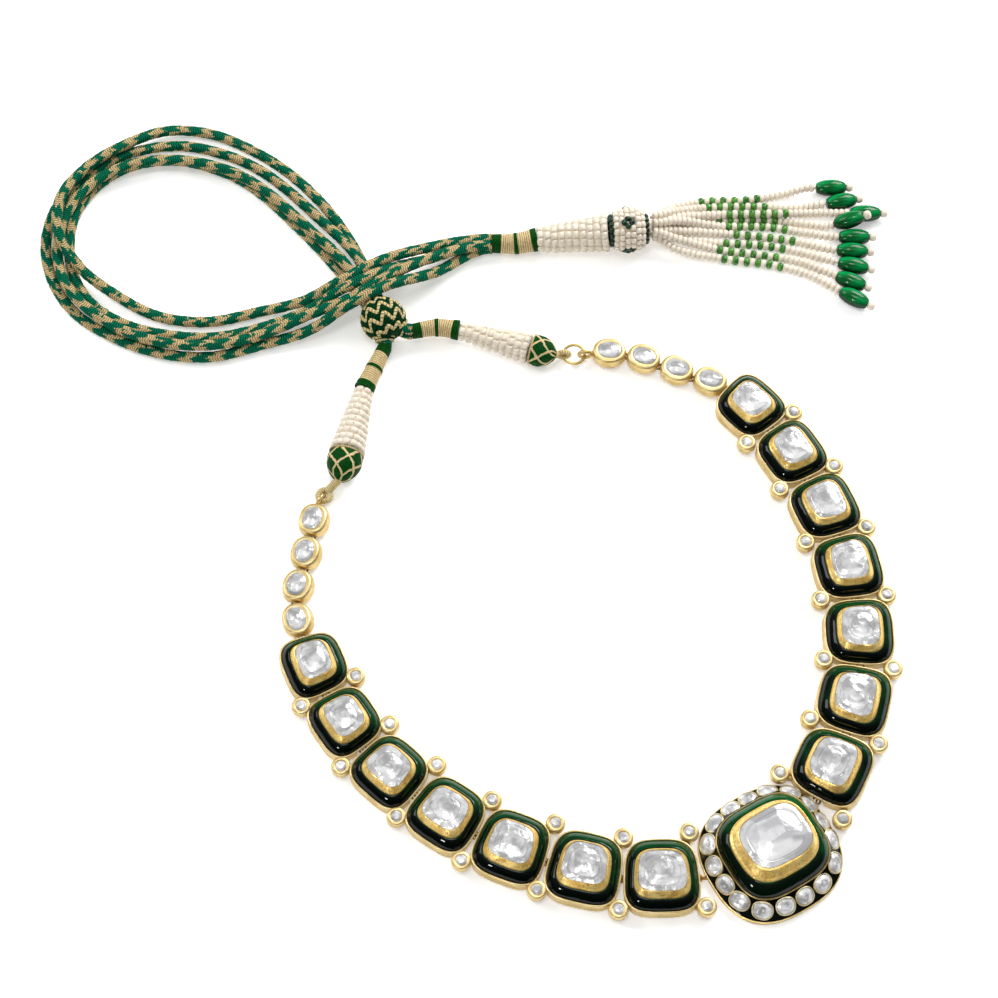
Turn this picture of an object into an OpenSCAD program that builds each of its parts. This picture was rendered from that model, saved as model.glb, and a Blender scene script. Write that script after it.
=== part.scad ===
// Kundan necklace: a collar of enamelled square links with a round pendant,
// closed by a braid of four cords with a slider knot and a beaded tassel.
// It lies on a flat surface at z = 0; the origin is the centre of the pendant's underside.

/* [Square links] */
// Length along the chain of the links beside the pendant
big_link_len = 14.6; // [14.2:0.1:14.8]
// Width across the chain of the links beside the pendant, at the rim
big_link_w = 14.0; // [13.4:0.1:14.4]
// Length along the chain of the links beside the ovals
small_link_len = 12.9; // [12.6:0.1:13.1]
// Width across the chain of the links beside the ovals, at the rim
small_link_w = 11.6; // [11.2:0.1:12]
// Clear space between neighbouring links
link_gap = 1.4; // [1.4:0.1:1.6]
// How much wider the base of a link is than its rim, each side
link_flare = 1.0; // [0.6:0.1:1.1]
// Share by which a link's neck side is shorter than its middle
link_taper = 0.07; // [0.04:0.01:0.08]
// Height of a link's rim
link_rim_z = 3.2; // [3:0.1:3.4]
// Height of the bezel round a link's stone
link_bezel_z = 5.3; // [5:0.1:5.6]
// Height of a link's stone
link_stone_z = 5.9; // [5.7:0.1:6.4]

/* [Stone cups] */
// Height of a round cup beside a link
cup_h = 3.6; // [3.2:0.1:3.9]
// Radius of a round cup at its belly
cup_r = 2.0; // [1.9:0.05:2.05]
// Radius of the stone in a round cup
cup_stone_r = 1.25; // [1.1:0.05:1.3]

/* [Ovals] */
// Length of an oval along the chain
oval_len = 7.44; // [7.2:0.02:7.5]
// Width of an oval at its belly
oval_w = 6.2; // [5.8:0.1:6.4]
// Height of an oval's rim
oval_rim_z = 3.9; // [3.6:0.1:4.2]
// Clear space between neighbouring ovals
oval_gap = 0.5; // [0.5:0.05:0.6]
// Number of ovals on each arm
ovals_per_arm = 4; // [4:1:4]

/* [Eyes] */
// Radius of the wire of the eyes that join the pieces
eye_wire_r = 0.225; // [0.2:0.005:0.23]
// Radius of an eye to the middle of its wire
eye_r = 0.775; // [0.75:0.005:0.8]
// Height of the eyes above the surface
eye_z = 1.2; // [1.1:0.05:1.3]

/* [Pendant] */
// Half length and half width of the pendant's outer edge
pendant_half = [14, 13.6];
// Half length and half width of the enamelled ring's outer edge
ring_half = [10.4, 9.7];
// Half length and half width of the bezel's outer edge
pendant_bezel_half = [8.4, 7.8];
// Half length and half width of the large stone
pendant_stone_half = [6.7, 6.1];
// Height of the pendant's upright edge
pendant_edge_z = 1.4; // [1.2:0.1:1.5]
// Height of the thin rim round the enamelled ring
ring_rim_z = 3.9; // [3.7:0.1:4.1]
// Height of the bezel round the large stone
pendant_bezel_z = 6.6; // [6.2:0.1:6.9]
// Height of the large stone
pendant_stone_z = 7.8; // [7.2:0.1:8.2]
// Turn of the pendant's rounded square
pendant_turn = 30; // [28:1:32]
// Length of a petal stone down the slope
petal_depth = 3.4; // [3:0.1:3.5]
// Width of a petal stone as a share of its distance from the middle
petal_share = 0.28; // [0.26:0.01:0.3]

/* [Cords and beads] */
// Diameter of a cord
cord_d = 2.2; // [2:0.1:2.2]
// Diameter of the slider knot
knot_d = 10.5; // [10:0.1:10.5]
// Radius of the thread wraps on the two cord pairs
wrap_r = 2.3; // [2.2:0.05:2.35]
// Radius of the thread wrap on the tail
tail_wrap_r = 2.6; // [2.5:0.05:2.65]
// Diameter of the net ball across the tassel
ball_d = 10.8; // [10:0.1:10.8]
// Diameter of a string of seed beads
string_d = 1.7; // [1.5:0.1:1.8]
// Length of a glass drop
drop_len = 6.8; // [6.4:0.1:7]
// Diameter of a glass drop
drop_d = 3.5; // [3.3:0.1:3.6]
// Radius of the bore through a glass drop
drop_bore_r = 0.45; // [0.4:0.05:0.5]

/* [Hidden] */
// Clear space between a piece and the one that holds it
fit = 0.06;
link_sides = 24;
stone_sides = 16;
small_stone_sides = 8;
pendant_sides = 32;
squareness = 4;
stone_squareness = 3.2;

// Where each arm starts beside the pendant, and the heading of each piece from there on
left_start = [-14.7, -4.8];
left_headings = [181, 167, 159, 146, 138, 124, 113, 104, 79, 80, 79];
right_start = [9.9, 11.3];
right_headings = [64, 75, 90, 101, 112, 121, 133, 161, 157, 160, 178];
// The neck side of a link is to the left of its heading on one arm, to the right on the other
left_side = 1;
right_side = -1;
links_per_arm = len(left_headings) - ovals_per_arm;
// Cups of the link beside the pendant, along and across from its corner: neck side, outer side
left_first_cups = [[-1.2, 2.2], [1.6, -0.4]];
right_first_cups = [[-1.2, 2.2], [2.3, -0.6]];

// Middle angle of each petal stone round the pendant
petal_angles = [10, 30, 50, 70, 91, 112, 133, 154, 175, 196, 217, 237, 259, 281, 303, 325, 348];

// Ends of the cone beads, the wraps and the tail
left_cone_big = [-89.3, 90.9, 4.05];
left_cone_small = [-86.1, 106.1, 3.4];
left_wrap_path = [[-86, 106.7, 3.4], [-84, 111.5, 3.3], [-81.5, 117.5, 3.3]];
right_cone_big = [-48.9, 116.9, 3.65];
right_cone_small = [-64.3, 121.6, 3.3];
right_wrap_path = [[-64.9, 121.8, 3.3], [-69.5, 122.5, 3.3], [-75.5, 121.5, 3.3]];
tail_wrap_path = [[-57.5, 145, 2.6], [-52, 145, 2.6], [-47, 145.8, 3.1]];
tail_cone_small = [-46.6, 145.8, 3.1];
tail_cone_big = [-30.7, 146.8, 4.7];
ball_centre = [-26, 147, ball_d / 2];
tassel_head = [-21, 148.4, 4];
cone_small_r = 2.1;
left_cone_r = 4.0;
right_cone_r = 3.6;
tail_cone_small_r = 3.0;
tail_cone_big_r = 4.6;

// Soldered lug at each end of the collar, and the thread eye that meets it
lug_z = 1.85;
left_lug = [-94.9, 80.1, lug_z];
left_thread_heading = 57;
right_lug = [-36.5, 116.4, lug_z];

knot_centre = [-82, 123.5, knot_d / 2];

// Cord routes, from the wrap at the collar's end to the wrap at the tail
cord_a_route = [
    [-75.5, 121.5, 2.1], [-81, 124, 4.1], [-83.5, 129.5, 3], [-87.5, 141, 1.2], [-94, 152.5, 1.2],
    [-113.5, 171, 1.2], [-125, 176, 1.4], [-134.5, 176, 2.2], [-143.5, 171.5, 3.4],
    [-152.5, 164, 4.4], [-157.5, 154, 5.6], [-157, 146.5, 5.2], [-152, 138.5, 3.2],
    [-143.5, 132, 1.6], [-133.5, 126.5, 1.4], [-122.5, 125, 1.4], [-110.5, 127.5, 1.6],
    [-100, 130, 2.6], [-92.5, 132.5, 6.2], [-84, 137, 7.4], [-72, 142.5, 5], [-57.5, 146.2, 3.7]];
cord_b_route = [
    [-75.5, 121.5, 4.5], [-81, 124, 6.5], [-83.5, 129.5, 5.4], [-88.5, 141, 3.6], [-96.5, 151, 2],
    [-118, 169, 1.4], [-131, 172.5, 1.2], [-142.5, 170.5, 1.2], [-152.5, 164, 1.2],
    [-159, 155, 1.2], [-160.5, 145.5, 1.2], [-158, 135.5, 1.2], [-152.5, 127.5, 1.2],
    [-144, 121.5, 1.4], [-132.5, 117, 1.4], [-121, 116, 1.4], [-109.5, 119, 1.6],
    [-98.5, 122, 3.2], [-90, 125.5, 8], [-82.5, 129.5, 9], [-70.5, 136.5, 4], [-57.5, 143.8, 1.3]];
cord_c_route = [
    [-81.5, 117.5, 4.5], [-83, 123, 6.5], [-86, 128.5, 5.4], [-91, 139, 3.4], [-99, 147.5, 3.8],
    [-120, 164.5, 3.8], [-132, 167, 3.8], [-142.5, 165.5, 3.8], [-151, 160, 3.8],
    [-156, 152.5, 3.4], [-157.5, 144, 2.4], [-155.5, 135.5, 2.8], [-150.5, 128.5, 3.6],
    [-142.5, 122.5, 3.6], [-131, 118.5, 3.4], [-120.5, 118, 3.4], [-109.5, 120.5, 3.6],
    [-98.5, 125, 5], [-90, 128, 6.6], [-83, 132, 7.8], [-71.5, 139, 6.2], [-57.5, 143.8, 3.7]];
cord_d_route = [
    [-81.5, 117.5, 2.1], [-83, 123, 4.1], [-86, 128.5, 3], [-93, 139, 1.2], [-100.5, 148, 1.4],
    [-121, 165.5, 1.2], [-133, 168.5, 1.2], [-143, 166.5, 1.2], [-151, 160, 1.2],
    [-154.5, 153, 1.2], [-155, 144, 1.2], [-153, 136, 1.2], [-149, 130, 1.2],
    [-141, 124.5, 1.2], [-130.5, 121.5, 1.4], [-120.5, 121, 1.4], [-109.5, 123.5, 1.6],
    [-99, 127, 3.4], [-91, 130.5, 7.2], [-83.5, 134.5, 7.2], [-72, 141, 2.4], [-57.5, 146.2, 1.3]];

// Tassel strings: start at the head, then points out to the glass drop
tassel_routes = [
    [[-21, 150.8, 4.4], [-15.5, 154.6, 2.4], [-9.5, 157, 0.9], [3, 157.8, 0.9], [11, 159.4, 0.9]],
    [[-21, 150.4, 5.6], [-15, 152.9, 3.6], [-8.5, 154.9, 1.3], [4, 155.5, 0.9], [14, 155.4, 0.9]],
    [[-21, 149, 3], [-15.5, 150.6, 1.4], [-6.5, 152.1, 0.9], [7, 152.6, 0.9], [15, 151.4, 0.9]],
    [[-21, 149.4, 4.4], [-15, 151.9, 3.4], [-6.5, 153.5, 2.3], [9, 154, 2.3], [18.5, 154, 1.4]],
    [[-21, 148.4, 5.8], [-15, 150, 4.3], [-4, 150.2, 1.4], [6.5, 150.3, 0.9], [14.5, 148.9, 0.9]],
    [[-21, 147.6, 4.4], [-15, 148.2, 2.9], [-5, 148.3, 1.4], [7, 147.4, 0.9], [14, 146.2, 0.9]],
    [[-21, 147.6, 3], [-15, 147, 1.4], [-7, 146.2, 0.9], [6.5, 145.1, 0.9], [14, 143.5, 0.9]],
    [[-21, 146.4, 5.4], [-15, 145.6, 3.6], [-4.5, 143.9, 1.2], [5.5, 142.6, 0.9], [14, 140.8, 0.9]],
    [[-21, 146, 4], [-15, 143.6, 2.2], [-5, 141.9, 0.9], [8, 139.9, 0.9], [15.5, 137.4, 0.9]]];
// Glass drops: middle x, middle y, heading, height of the near end, height of the far end
drops = [
    [21.6, 160.6, 1, 1.8, 1.8], [23.8, 156.8, 10, 1.8, 1.8], [25.1, 150.8, 4, 1.8, 5],
    [29.2, 153.6, 0, 1.8, 1.8], [26.2, 147.2, 0, 1.8, 1.8], [25.5, 143.5, -4, 1.8, 1.8],
    [25.5, 139.6, -14, 1.8, 1.8], [24.7, 135.5, -23, 1.8, 1.8], [25.2, 131.1, -30, 1.8, 1.8]];

function heading(a) = [cos(a), sin(a)];
function lift(points, z) = [for (p = points) [p.x, p.y, z]];
function unit(v) = v / norm(v);

// Length and width of the square link at place i, counted from the pendant
function link_len(i) = big_link_len - (big_link_len - small_link_len) * i / (links_per_arm - 1);
function link_w(i) = big_link_w - (big_link_w - small_link_w) * i / (links_per_arm - 1);
// Length of piece i of an arm with its share of the gaps, and its half gap
function piece_len(i) = i < links_per_arm ? link_len(i) : oval_len;
function half_gap(i) = (i < links_per_arm ? link_gap : oval_gap) / 2;
function arm_joint(start, headings, i) = i == 0 ? start
    : arm_joint(start, headings, i - 1)
      + (piece_len(i - 1) + 2 * half_gap(i - 1)) * heading(headings[i - 1]);
function arm_centre(start, headings, i) =
    arm_joint(start, headings, i) + (piece_len(i) / 2 + half_gap(i)) * heading(headings[i]);

// Outline of a rounded square with half sizes half, shorter towards +y by taper
function squircle(half, n, sides, taper = 0) = [
    for (k = [0 : sides - 1])
        let (a = 360 * (k + 0.5) / sides)
        let (r = pow(pow(abs(cos(a)) / half.x, n) + pow(abs(sin(a)) / half.y, n), -1 / n))
        [r * cos(a) * (1 - taper * r * sin(a) / half.y), r * sin(a)]];
function turned(points, a) = [
    for (p = points) [p.x * cos(a) - p.y * sin(a), p.x * sin(a) + p.y * cos(a)]];
function moved(points, v) = [for (p = points) [p.x + v.x, p.y + v.y]];

function wall_faces(rows, n, closed) = [
    for (j = [0 : rows - (closed ? 1 : 2)], k = [0 : n - 1])
        let (j2 = (j + 1) % rows, k2 = (k + 1) % n)
        [j * n + k, j2 * n + k, j2 * n + k2, j * n + k2]];
// Solid through a stack of outlines, lowest first
module loft(rows) {
    n = len(rows[0]);
    last = (len(rows) - 1) * n;
    polyhedron(
        [for (row = rows) each row],
        concat(
            [[for (k = [0 : n - 1]) k]],
            wall_faces(len(rows), n, false),
            [[for (k = [n - 1 : -1 : 0]) last + k]]),
        convexity = 6);
}
// Ring through outlines that go up the outside and down the inside
module loft_ring(rows) {
    n = len(rows[0]);
    polyhedron([for (row = rows) each row], wall_faces(len(rows), n, true), convexity = 8);
}

// Straight round bar from one point to another
module bar(from, to, r1, r2) {
    v = to - from;
    translate(from)
        rotate([0, acos(v.z / norm(v)), atan2(v.y, v.x)])
            cylinder(h = norm(v), r1 = r1, r2 = r2, $fn = 48);
}
module torus(ring_r, wire_r) {
    rotate_extrude($fn = 48) translate([ring_r, 0]) circle(r = wire_r, $fn = 24);
}

// Rings of a round tube swept along a route; the first and last ring face start_dir and end_dir
function route_dir(route, k, start_dir, end_dir) =
    k == 0 ? start_dir
    : k == len(route) - 1 ? end_dir
    : unit(unit(route[k + 1] - route[k]) + unit(route[k] - route[k - 1]));
function tube_ring(centre, dir, r, sides) =
    let (across = unit(cross([0, 0, 1], dir)), up = cross(dir, across))
    [for (k = [0 : sides - 1])
        let (a = 360 * (k + 0.5) / sides)
        centre + r * (cos(a) * across + sin(a) * up)];
module tube(route, r, sides, start_dir, end_dir) {
    loft([for (k = [0 : len(route) - 1])
        tube_ring(route[k], route_dir(route, k, start_dir, end_dir), r, sides)]);
}

// Eyes of one piece: a flat one at its near end, an upright one at its far end
module flat_eye(x) {
    translate([x, 0, eye_z]) torus(eye_r, eye_wire_r);
}
module upright_eye(x) {
    translate([x, 0, eye_z]) rotate([90, 0, 0]) torus(eye_r, eye_wire_r);
}
// Room for the neighbour's eye in the end wall at x
module eye_pocket(x, depth, w) {
    translate([x - depth, -w / 2, -1]) cube([2 * depth, w, 1 + eye_z + eye_r + 0.45]);
}
eye_reach = eye_r / 2;
eye_room = 1.0;

// Square link, in its own frame: +x towards the pendant, +y the neck side if side is 1
rim_w = 0.35;
enamel_share = 0.125;
bezel_share = 0.085;
trough_z = link_rim_z - 0.4;
link_seat_z = link_bezel_z - 1.2;
function link_half(i) = [link_len(i) / 2, link_w(i) / 2];
function rim_half(i) = link_half(i) - [0.25, 0];
function trough_half(i) = rim_half(i) - [rim_w, rim_w];
function bezel_half(i) = trough_half(i) - enamel_share * [link_w(i), link_w(i)];
function seat_half(i) = bezel_half(i) - bezel_share * [link_w(i), link_w(i)];
function link_outline(half, side, n = squareness) = squircle(half, n, link_sides, side * link_taper);

module link_body(i, side) {
    base = link_half(i) + [0, link_flare];
    loft([
        lift(link_outline(base - [0.3, 0.3], side), 0),
        lift(link_outline(base, side), 0.6),
        lift(link_outline(rim_half(i) + [0.15, 0.45], side), 2),
        lift(link_outline(rim_half(i), side), link_rim_z)]);
}
// Cup places of link i, which joins its pendant-side neighbour at an angle of turn
function cup_offsets(i, turn, first_cups) =
    i == 0 ? first_cups : [[0.1 - 0.06 * turn, 1.3], [0.5 + 0.06 * turn, 0.1]];
function cup_place(i, side, offset, k) =
    [link_half(i).x + offset.x, (k == 0 ? side : -side) * (link_half(i).y + offset.y), 0];
module link_case(i, side, offsets) {
    half = link_half(i);
    difference() {
        link_body(i, side);
        translate([0, 0, trough_z])
            linear_extrude(link_rim_z) polygon(link_outline(trough_half(i), side));
        for (end = [-1, 1]) {
            eye_pocket(end * half.x, eye_room - link_gap / 2, 3.2);
        }
    }
    difference() {
        translate([0, 0, trough_z - 0.5])
            linear_extrude(link_bezel_z - trough_z + 0.5) polygon(link_outline(bezel_half(i), side, 3.4));
        translate([0, 0, link_seat_z])
            linear_extrude(link_bezel_z) polygon(link_outline(seat_half(i), side, stone_squareness));
    }
    flat_eye(half.x + link_gap / 2 - eye_reach);
    upright_eye(-half.x - link_gap / 2 + eye_reach);
    for (k = [0, 1]) {
        place = cup_place(i, side, offsets[k], k);
        translate(place) stone_cup();
        bar([half.x - 2.2, (k == 0 ? side : -side) * (half.y - 1.4), 1.3], place + [0, 0, 1.3], 0.8, 0.8);
    }
}
// Ring of enamel, domed towards the bezel
module link_enamel_ring(i, side) {
    outer = trough_half(i) - [fit, fit];
    inner = bezel_half(i) + [fit, fit];
    rows = [[0, trough_z + fit], [0, link_rim_z], [0.4, 4.4], [1, link_bezel_z - 0.3], [1, trough_z + fit]];
    loft_ring([for (row = rows)
        lift(link_outline(outer + row[0] * (inner - outer), side, squareness - 0.6 * row[0]), row[1])]);
}
// Cut stone with a flat table
module cut_stone(half, n, sides, taper, z, girdle_z, top_z, table) {
    loft([
        lift(squircle(half, n, sides, taper), z),
        lift(squircle(half, n, sides, taper), girdle_z),
        lift(squircle(table * half, n, sides, taper), top_z)]);
}
module link_stone(i, side) {
    cut_stone(seat_half(i) - [0.1, 0.1], stone_squareness, stone_sides, side * link_taper,
        link_seat_z + fit, link_bezel_z - 0.1, link_stone_z, 0.6);
}
// Puts children in the frame of piece i of an arm
module on_arm(start, headings, i) {
    translate(arm_centre(start, headings, i)) rotate(headings[i] + 180) children();
}

// Round cup and its stone
cup_seat_z = cup_h - 0.75;
module stone_cup() {
    rotate_extrude($fn = 48)
        polygon([
            [0, 0], [cup_r - 0.7, 0], [cup_r - 0.45, 0.7], [cup_r - 0.1, 1.6], [cup_r, 2.3],
            [cup_r - 0.1, 3.1], [cup_r - 0.3, cup_h], [cup_stone_r + 0.1, cup_h], [cup_stone_r + 0.1, cup_seat_z],
            [0, cup_seat_z]]);
}
module cup_stone() {
    cut_stone([cup_stone_r, cup_stone_r], 2, small_stone_sides, 0,
        cup_seat_z + 0.1, cup_h, cup_h + 0.45, 0.6);
}

module link_cup_stones(i, side, offsets) {
    for (k = [0, 1]) {
        translate(cup_place(i, side, offsets[k], k)) cup_stone();
    }
}

// Oval link, in the same frame as a square one
oval_seat_z = oval_rim_z - 0.9;
oval_base_z = 0.3;
oval_stone_half = [2.4, 1.85];
module oval_body() {
    half = [oval_len, oval_w] / 2;
    sides = 16;
    loft([
        lift(squircle(half - [0.9, 0.95], 2, sides), oval_base_z),
        lift(squircle(half - [0.15, 0.2], 2.1, sides), 1.1),
        lift(squircle(half, 2.2, sides), 2.1),
        lift(squircle(half - [0.3, 0.25], 2.2, sides), 3.1),
        lift(squircle(half - [0.85, 0.75], 2.2, sides), oval_rim_z)]);
}
module oval_case(roll) {
    difference() {
        rotate([roll, 0, 0]) oval_body();
        rotate([roll, 0, 0]) translate([0, 0, oval_seat_z])
            linear_extrude(3) polygon(squircle(oval_stone_half + [0.1, 0.1], 2.2, small_stone_sides * 2));
        for (end = [-1, 1]) {
            eye_pocket(end * oval_len / 2, eye_room - oval_gap / 2, 2.5);
        }
    }
    flat_eye(oval_len / 2 + oval_gap / 2 - eye_reach);
}
module oval_stone(roll) {
    rotate([roll, 0, 0])
        cut_stone(oval_stone_half, 2.2, small_stone_sides * 2, 0,
            oval_seat_z + 0.1, oval_rim_z, oval_rim_z + 0.75, 0.55);
}
left_roll = 5;
right_roll = 0;
// Last oval of an arm ends in a lug instead of an eye
module end_oval(start, headings, i, roll, lug, lug_heading) {
    on_arm(start, headings, i) {
        oval_case(roll);
    }
    tip = arm_centre(start, headings, i) + (oval_len / 2 - 1) * heading(headings[i]);
    back = lug - unit([lug.x - tip.x, lug.y - tip.y, 0]) * lug_ring_r;
    bar([tip.x, tip.y, lug_z], back, 0.6, 0.6);
    translate(lug) rotate(lug_heading) rotate([90, 0, 0]) torus(lug_ring_r, lug_wire_r);
}
module middle_oval(start, headings, i, roll) {
    on_arm(start, headings, i) {
        oval_case(roll);
        upright_eye(-oval_len / 2 - oval_gap / 2 + eye_reach);
    }
}
lug_ring_r = 1.3;
lug_wire_r = 0.38;
thread_wire_r = 0.7;
thread_ring_r = 1.3;
right_thread_wire_r = 0.6;
right_thread_ring_r = 1.2;
jump_ring_r = 2.4;
jump_wire_r = 0.35;

// Pendant
pendant_shift = [-0.1, 0.3];
ring_shift = pendant_shift + 0.6 * heading(120);
pendant_squareness = 2.6;
ring_squareness = 3.1;
border_thick = 0.5;
ring_trough_z = ring_rim_z - 0.5;
pendant_seat_z = pendant_bezel_z - 1.2;
function pendant_outline(half, n, shift) = moved(turned(squircle(half, n, pendant_sides), pendant_turn), shift);
function outer_edge(grow) = pendant_outline(pendant_half + [grow, grow], pendant_squareness, pendant_shift);
function ring_edge(grow) = pendant_outline(ring_half + [grow, grow], ring_squareness, ring_shift);
// Place and slope of the petal at angle a
function edge_r(half, n, a) = pow(pow(abs(cos(a)) / half.x, n) + pow(abs(sin(a)) / half.y, n), -1 / n);
function outer_r(a) = edge_r(pendant_half, pendant_squareness, a - pendant_turn);
function ring_r(a) = edge_r(ring_half, ring_squareness, a - pendant_turn);
petal_place = 0.5;
function petal_slope(a) = atan((ring_rim_z - pendant_edge_z) / (outer_r(a) - ring_r(a)));
function petal_r(a) = (1 - petal_place) * ring_r(a) + petal_place * outer_r(a);
function petal_half(a) = [petal_share * petal_r(a), petal_depth] / 2;
module on_petal(a) {
    shift = (1 - petal_place) * ring_shift + petal_place * pendant_shift;
    r = petal_r(a);
    z = ring_rim_z - petal_place * (ring_rim_z - pendant_edge_z);
    translate([shift.x + r * cos(a), shift.y + r * sin(a), z])
        rotate(a) rotate([0, petal_slope(a), 0]) rotate(90) children();
}
petal_collar_w = 0.25;
function petal_outline(a, grow) = squircle(petal_half(a) + [grow, grow], 2.3, 12);
collar_top = 0.35;
module petal_prism(a, grow, low, high) {
    translate([0, 0, low]) linear_extrude(high - low) polygon(petal_outline(a, grow));
}
module petal_stone(a) {
    cut_stone(petal_half(a), 2.3, small_stone_sides, 0, -0.35, collar_top, 0.95, 0.55);
}
module on_arm_starts() {
    for (arm = [[left_start, left_headings[0]], [right_start, right_headings[0]]]) {
        translate(arm[0]) rotate(arm[1] + 180) children();
    }
}
// Room in the pendant's edge for the eye of each arm's first link
module eye_rooms() {
    on_arm_starts() translate([eye_room - 4, -1.6, -1]) cube([4, 3.2, 1 + eye_z + eye_r + 0.45]);
}
module pendant_case() {
    difference() {
        union() {
            loft([
                lift(outer_edge(-0.4), 0),
                lift(outer_edge(0), 0.4),
                lift(outer_edge(0), pendant_edge_z - border_thick),
                lift(ring_edge(0), ring_rim_z - border_thick)]);
            for (a = petal_angles) {
                on_petal(a) petal_prism(a, petal_collar_w, -1, collar_top);
            }
        }
        for (a = petal_angles) {
            on_petal(a) petal_prism(a, 0.1, -0.45, 2);
        }
        eye_rooms();
    }
    difference() {
        translate([0, 0, ring_trough_z - 1.5]) linear_extrude(ring_rim_z + 0.15 - ring_trough_z + 1.5)
            polygon(ring_edge(0));
        translate([0, 0, ring_trough_z]) linear_extrude(3) polygon(ring_edge(-0.3));
    }
    difference() {
        translate([0, 0, ring_trough_z - 0.5]) linear_extrude(pendant_bezel_z - ring_trough_z + 0.5)
            polygon(pendant_outline(pendant_bezel_half, 2.9, ring_shift));
        translate([0, 0, pendant_seat_z]) linear_extrude(3)
            polygon(pendant_outline(pendant_stone_half + [0.1, 0.1], stone_squareness, ring_shift));
    }
    on_arm_starts() {
        upright_eye(eye_reach);
        bar([0.7, 0, 0.62], [3, 0, 0.62], 0.3, 0.3);
    }
}
// Enamel on the slope between the petal stones
module pendant_border() {
    low = pendant_edge_z - border_thick + fit;
    difference() {
        loft_ring([
            lift(outer_edge(-0.05), low),
            lift(outer_edge(0), pendant_edge_z),
            lift(ring_edge(0.1), ring_rim_z),
            lift(ring_edge(0.1), ring_rim_z - border_thick + fit)]);
        for (a = petal_angles) {
            on_petal(a) petal_prism(a, petal_collar_w + fit, -2, 2);
        }
        eye_rooms();
    }
}
module pendant_enamel() {
    inner_half = pendant_bezel_half + [fit, fit];
    outer_half = ring_half - [0.3 + fit, 0.3 + fit];
    rows = [[0, ring_trough_z + fit], [0, ring_rim_z + 0.1], [0.4, 5.2], [1, 6.2], [1, ring_trough_z + fit]];
    loft_ring([for (row = rows)
        lift(pendant_outline(outer_half + row[0] * (inner_half - outer_half),
            ring_squareness - 0.2 * row[0], ring_shift), row[1])]);
}
module pendant_stone() {
    half = pendant_stone_half;
    sides = 20;
    function row(k, z) = lift(moved(turned(squircle(k * half, stone_squareness, sides), pendant_turn), ring_shift), z);
    loft([row(1, pendant_seat_z + fit), row(1, pendant_bezel_z - 0.1), row(0.8, 7.4), row(0.5, pendant_stone_z)]);
}

// Domed cap beyond the big end of a cone bead, with the thread eye that meets the collar
module cone_cap(cone_big, cone_small, r, h) {
    dir = unit([cone_big.x - cone_small.x, cone_big.y - cone_small.y, 0]);
    translate(cone_big + 0.3 * dir) rotate([0, 90, atan2(dir.y, dir.x)])
        rotate_extrude($fn = 48)
            polygon([
                [0, 0], [r - 0.5, 0], [r - 0.1, 0.08 * h], [r, 0.25 * h], [0.95 * r, 0.48 * h],
                [0.8 * r, 0.68 * h], [0.56 * r, 0.85 * h], [0.3 * r, 0.96 * h], [0, h]]);
}
function cap_tip(cone_big, cone_small, h) =
    cone_big + (h - 0.6) * unit([cone_big.x - cone_small.x, cone_big.y - cone_small.y, 0]);
left_cap_h = 7.2;
right_cap_h = 6;
left_thread_eye = left_lug + thread_ring_r * [cos(left_thread_heading), sin(left_thread_heading), 0];
jump_ring_centre = right_lug - [jump_ring_r, 0, 0];
right_thread_eye = jump_ring_centre - [jump_ring_r - 0.05, 0, 0];

module left_cap() {
    cone_cap(left_cone_big, left_cone_small, left_cone_r - 0.05, left_cap_h);
    translate(left_thread_eye) torus(thread_ring_r, thread_wire_r);
    away = [cos(left_thread_heading), sin(left_thread_heading), 0];
    bar(left_thread_eye + thread_ring_r * away, cap_tip(left_cone_big, left_cone_small, left_cap_h), 0.9, 0.9);
}
module right_cap() {
    cone_cap(right_cone_big, right_cone_small, right_cone_r - 0.05, right_cap_h);
    translate(right_thread_eye) rotate([90, 0, 0]) torus(right_thread_ring_r, right_thread_wire_r);
    bar(right_thread_eye - [right_thread_ring_r, 0, 0], cap_tip(right_cone_big, right_cone_small, right_cap_h), 0.8, 0.9);
}
module end_ring() {
    translate(jump_ring_centre) torus(jump_ring_r, jump_wire_r);
}

// Slider knot: a ball with one bore for both cord pairs, one for each pair below it, and room inside
module faceted_ball(r, sides, rows) {
    loft([for (k = [0 : rows])
        let (a = -88 + 176 * k / rows)
        [for (j = [0 : sides - 1])
            let (b = 360 * (j + 0.5) / sides)
            [r * cos(a) * cos(b), r * cos(a) * sin(b), r * sin(a)]]]);
}
module slider_knot() {
    difference() {
        translate(knot_centre) faceted_ball(knot_d / 2, 20, 10);
        translate(knot_centre) faceted_ball(3.6, 12, 6);
        knot_bore(knot_centre, [-84.75, 129, 4.2], 3.2);
        knot_bore([-81, 124, 5.3], [-75.5, 121.5, 3.3], 2.6);
        knot_bore([-83, 123, 5.3], [-81.5, 117.5, 3.3], 2.6);
    }
}
module knot_bore(from, to, r) {
    bar(from, from + 12 * unit(to - from), r, r);
}

function path_start_dir(path) = unit(path[1] - path[0]);
function path_end_dir(path) = unit(path[len(path) - 1] - path[len(path) - 2]);
module wrap(path, r) {
    tube(path, r, 16, path_start_dir(path), path_end_dir(path));
}
module thread_wraps() {
    wrap(left_wrap_path, wrap_r);
    wrap(right_wrap_path, wrap_r);
    wrap(tail_wrap_path, tail_wrap_r);
}
module cord(route, wrap_path) {
    tube(route, cord_d / 2, 8, path_end_dir(wrap_path), path_start_dir(tail_wrap_path));
}

module tail_ball() {
    translate(ball_centre) rotate([0, 90, 4])
        rotate_extrude($fn = 64)
            polygon([
                [0, -4.3], [3.6, -4.3], [4.6, -3.2], [5.25, -1.6], [ball_d / 2, 0],
                [5.25, 1.6], [4.6, 2.7], [3.7, 3.6], [3, 4.1], [0, 4.1]]);
}

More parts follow.
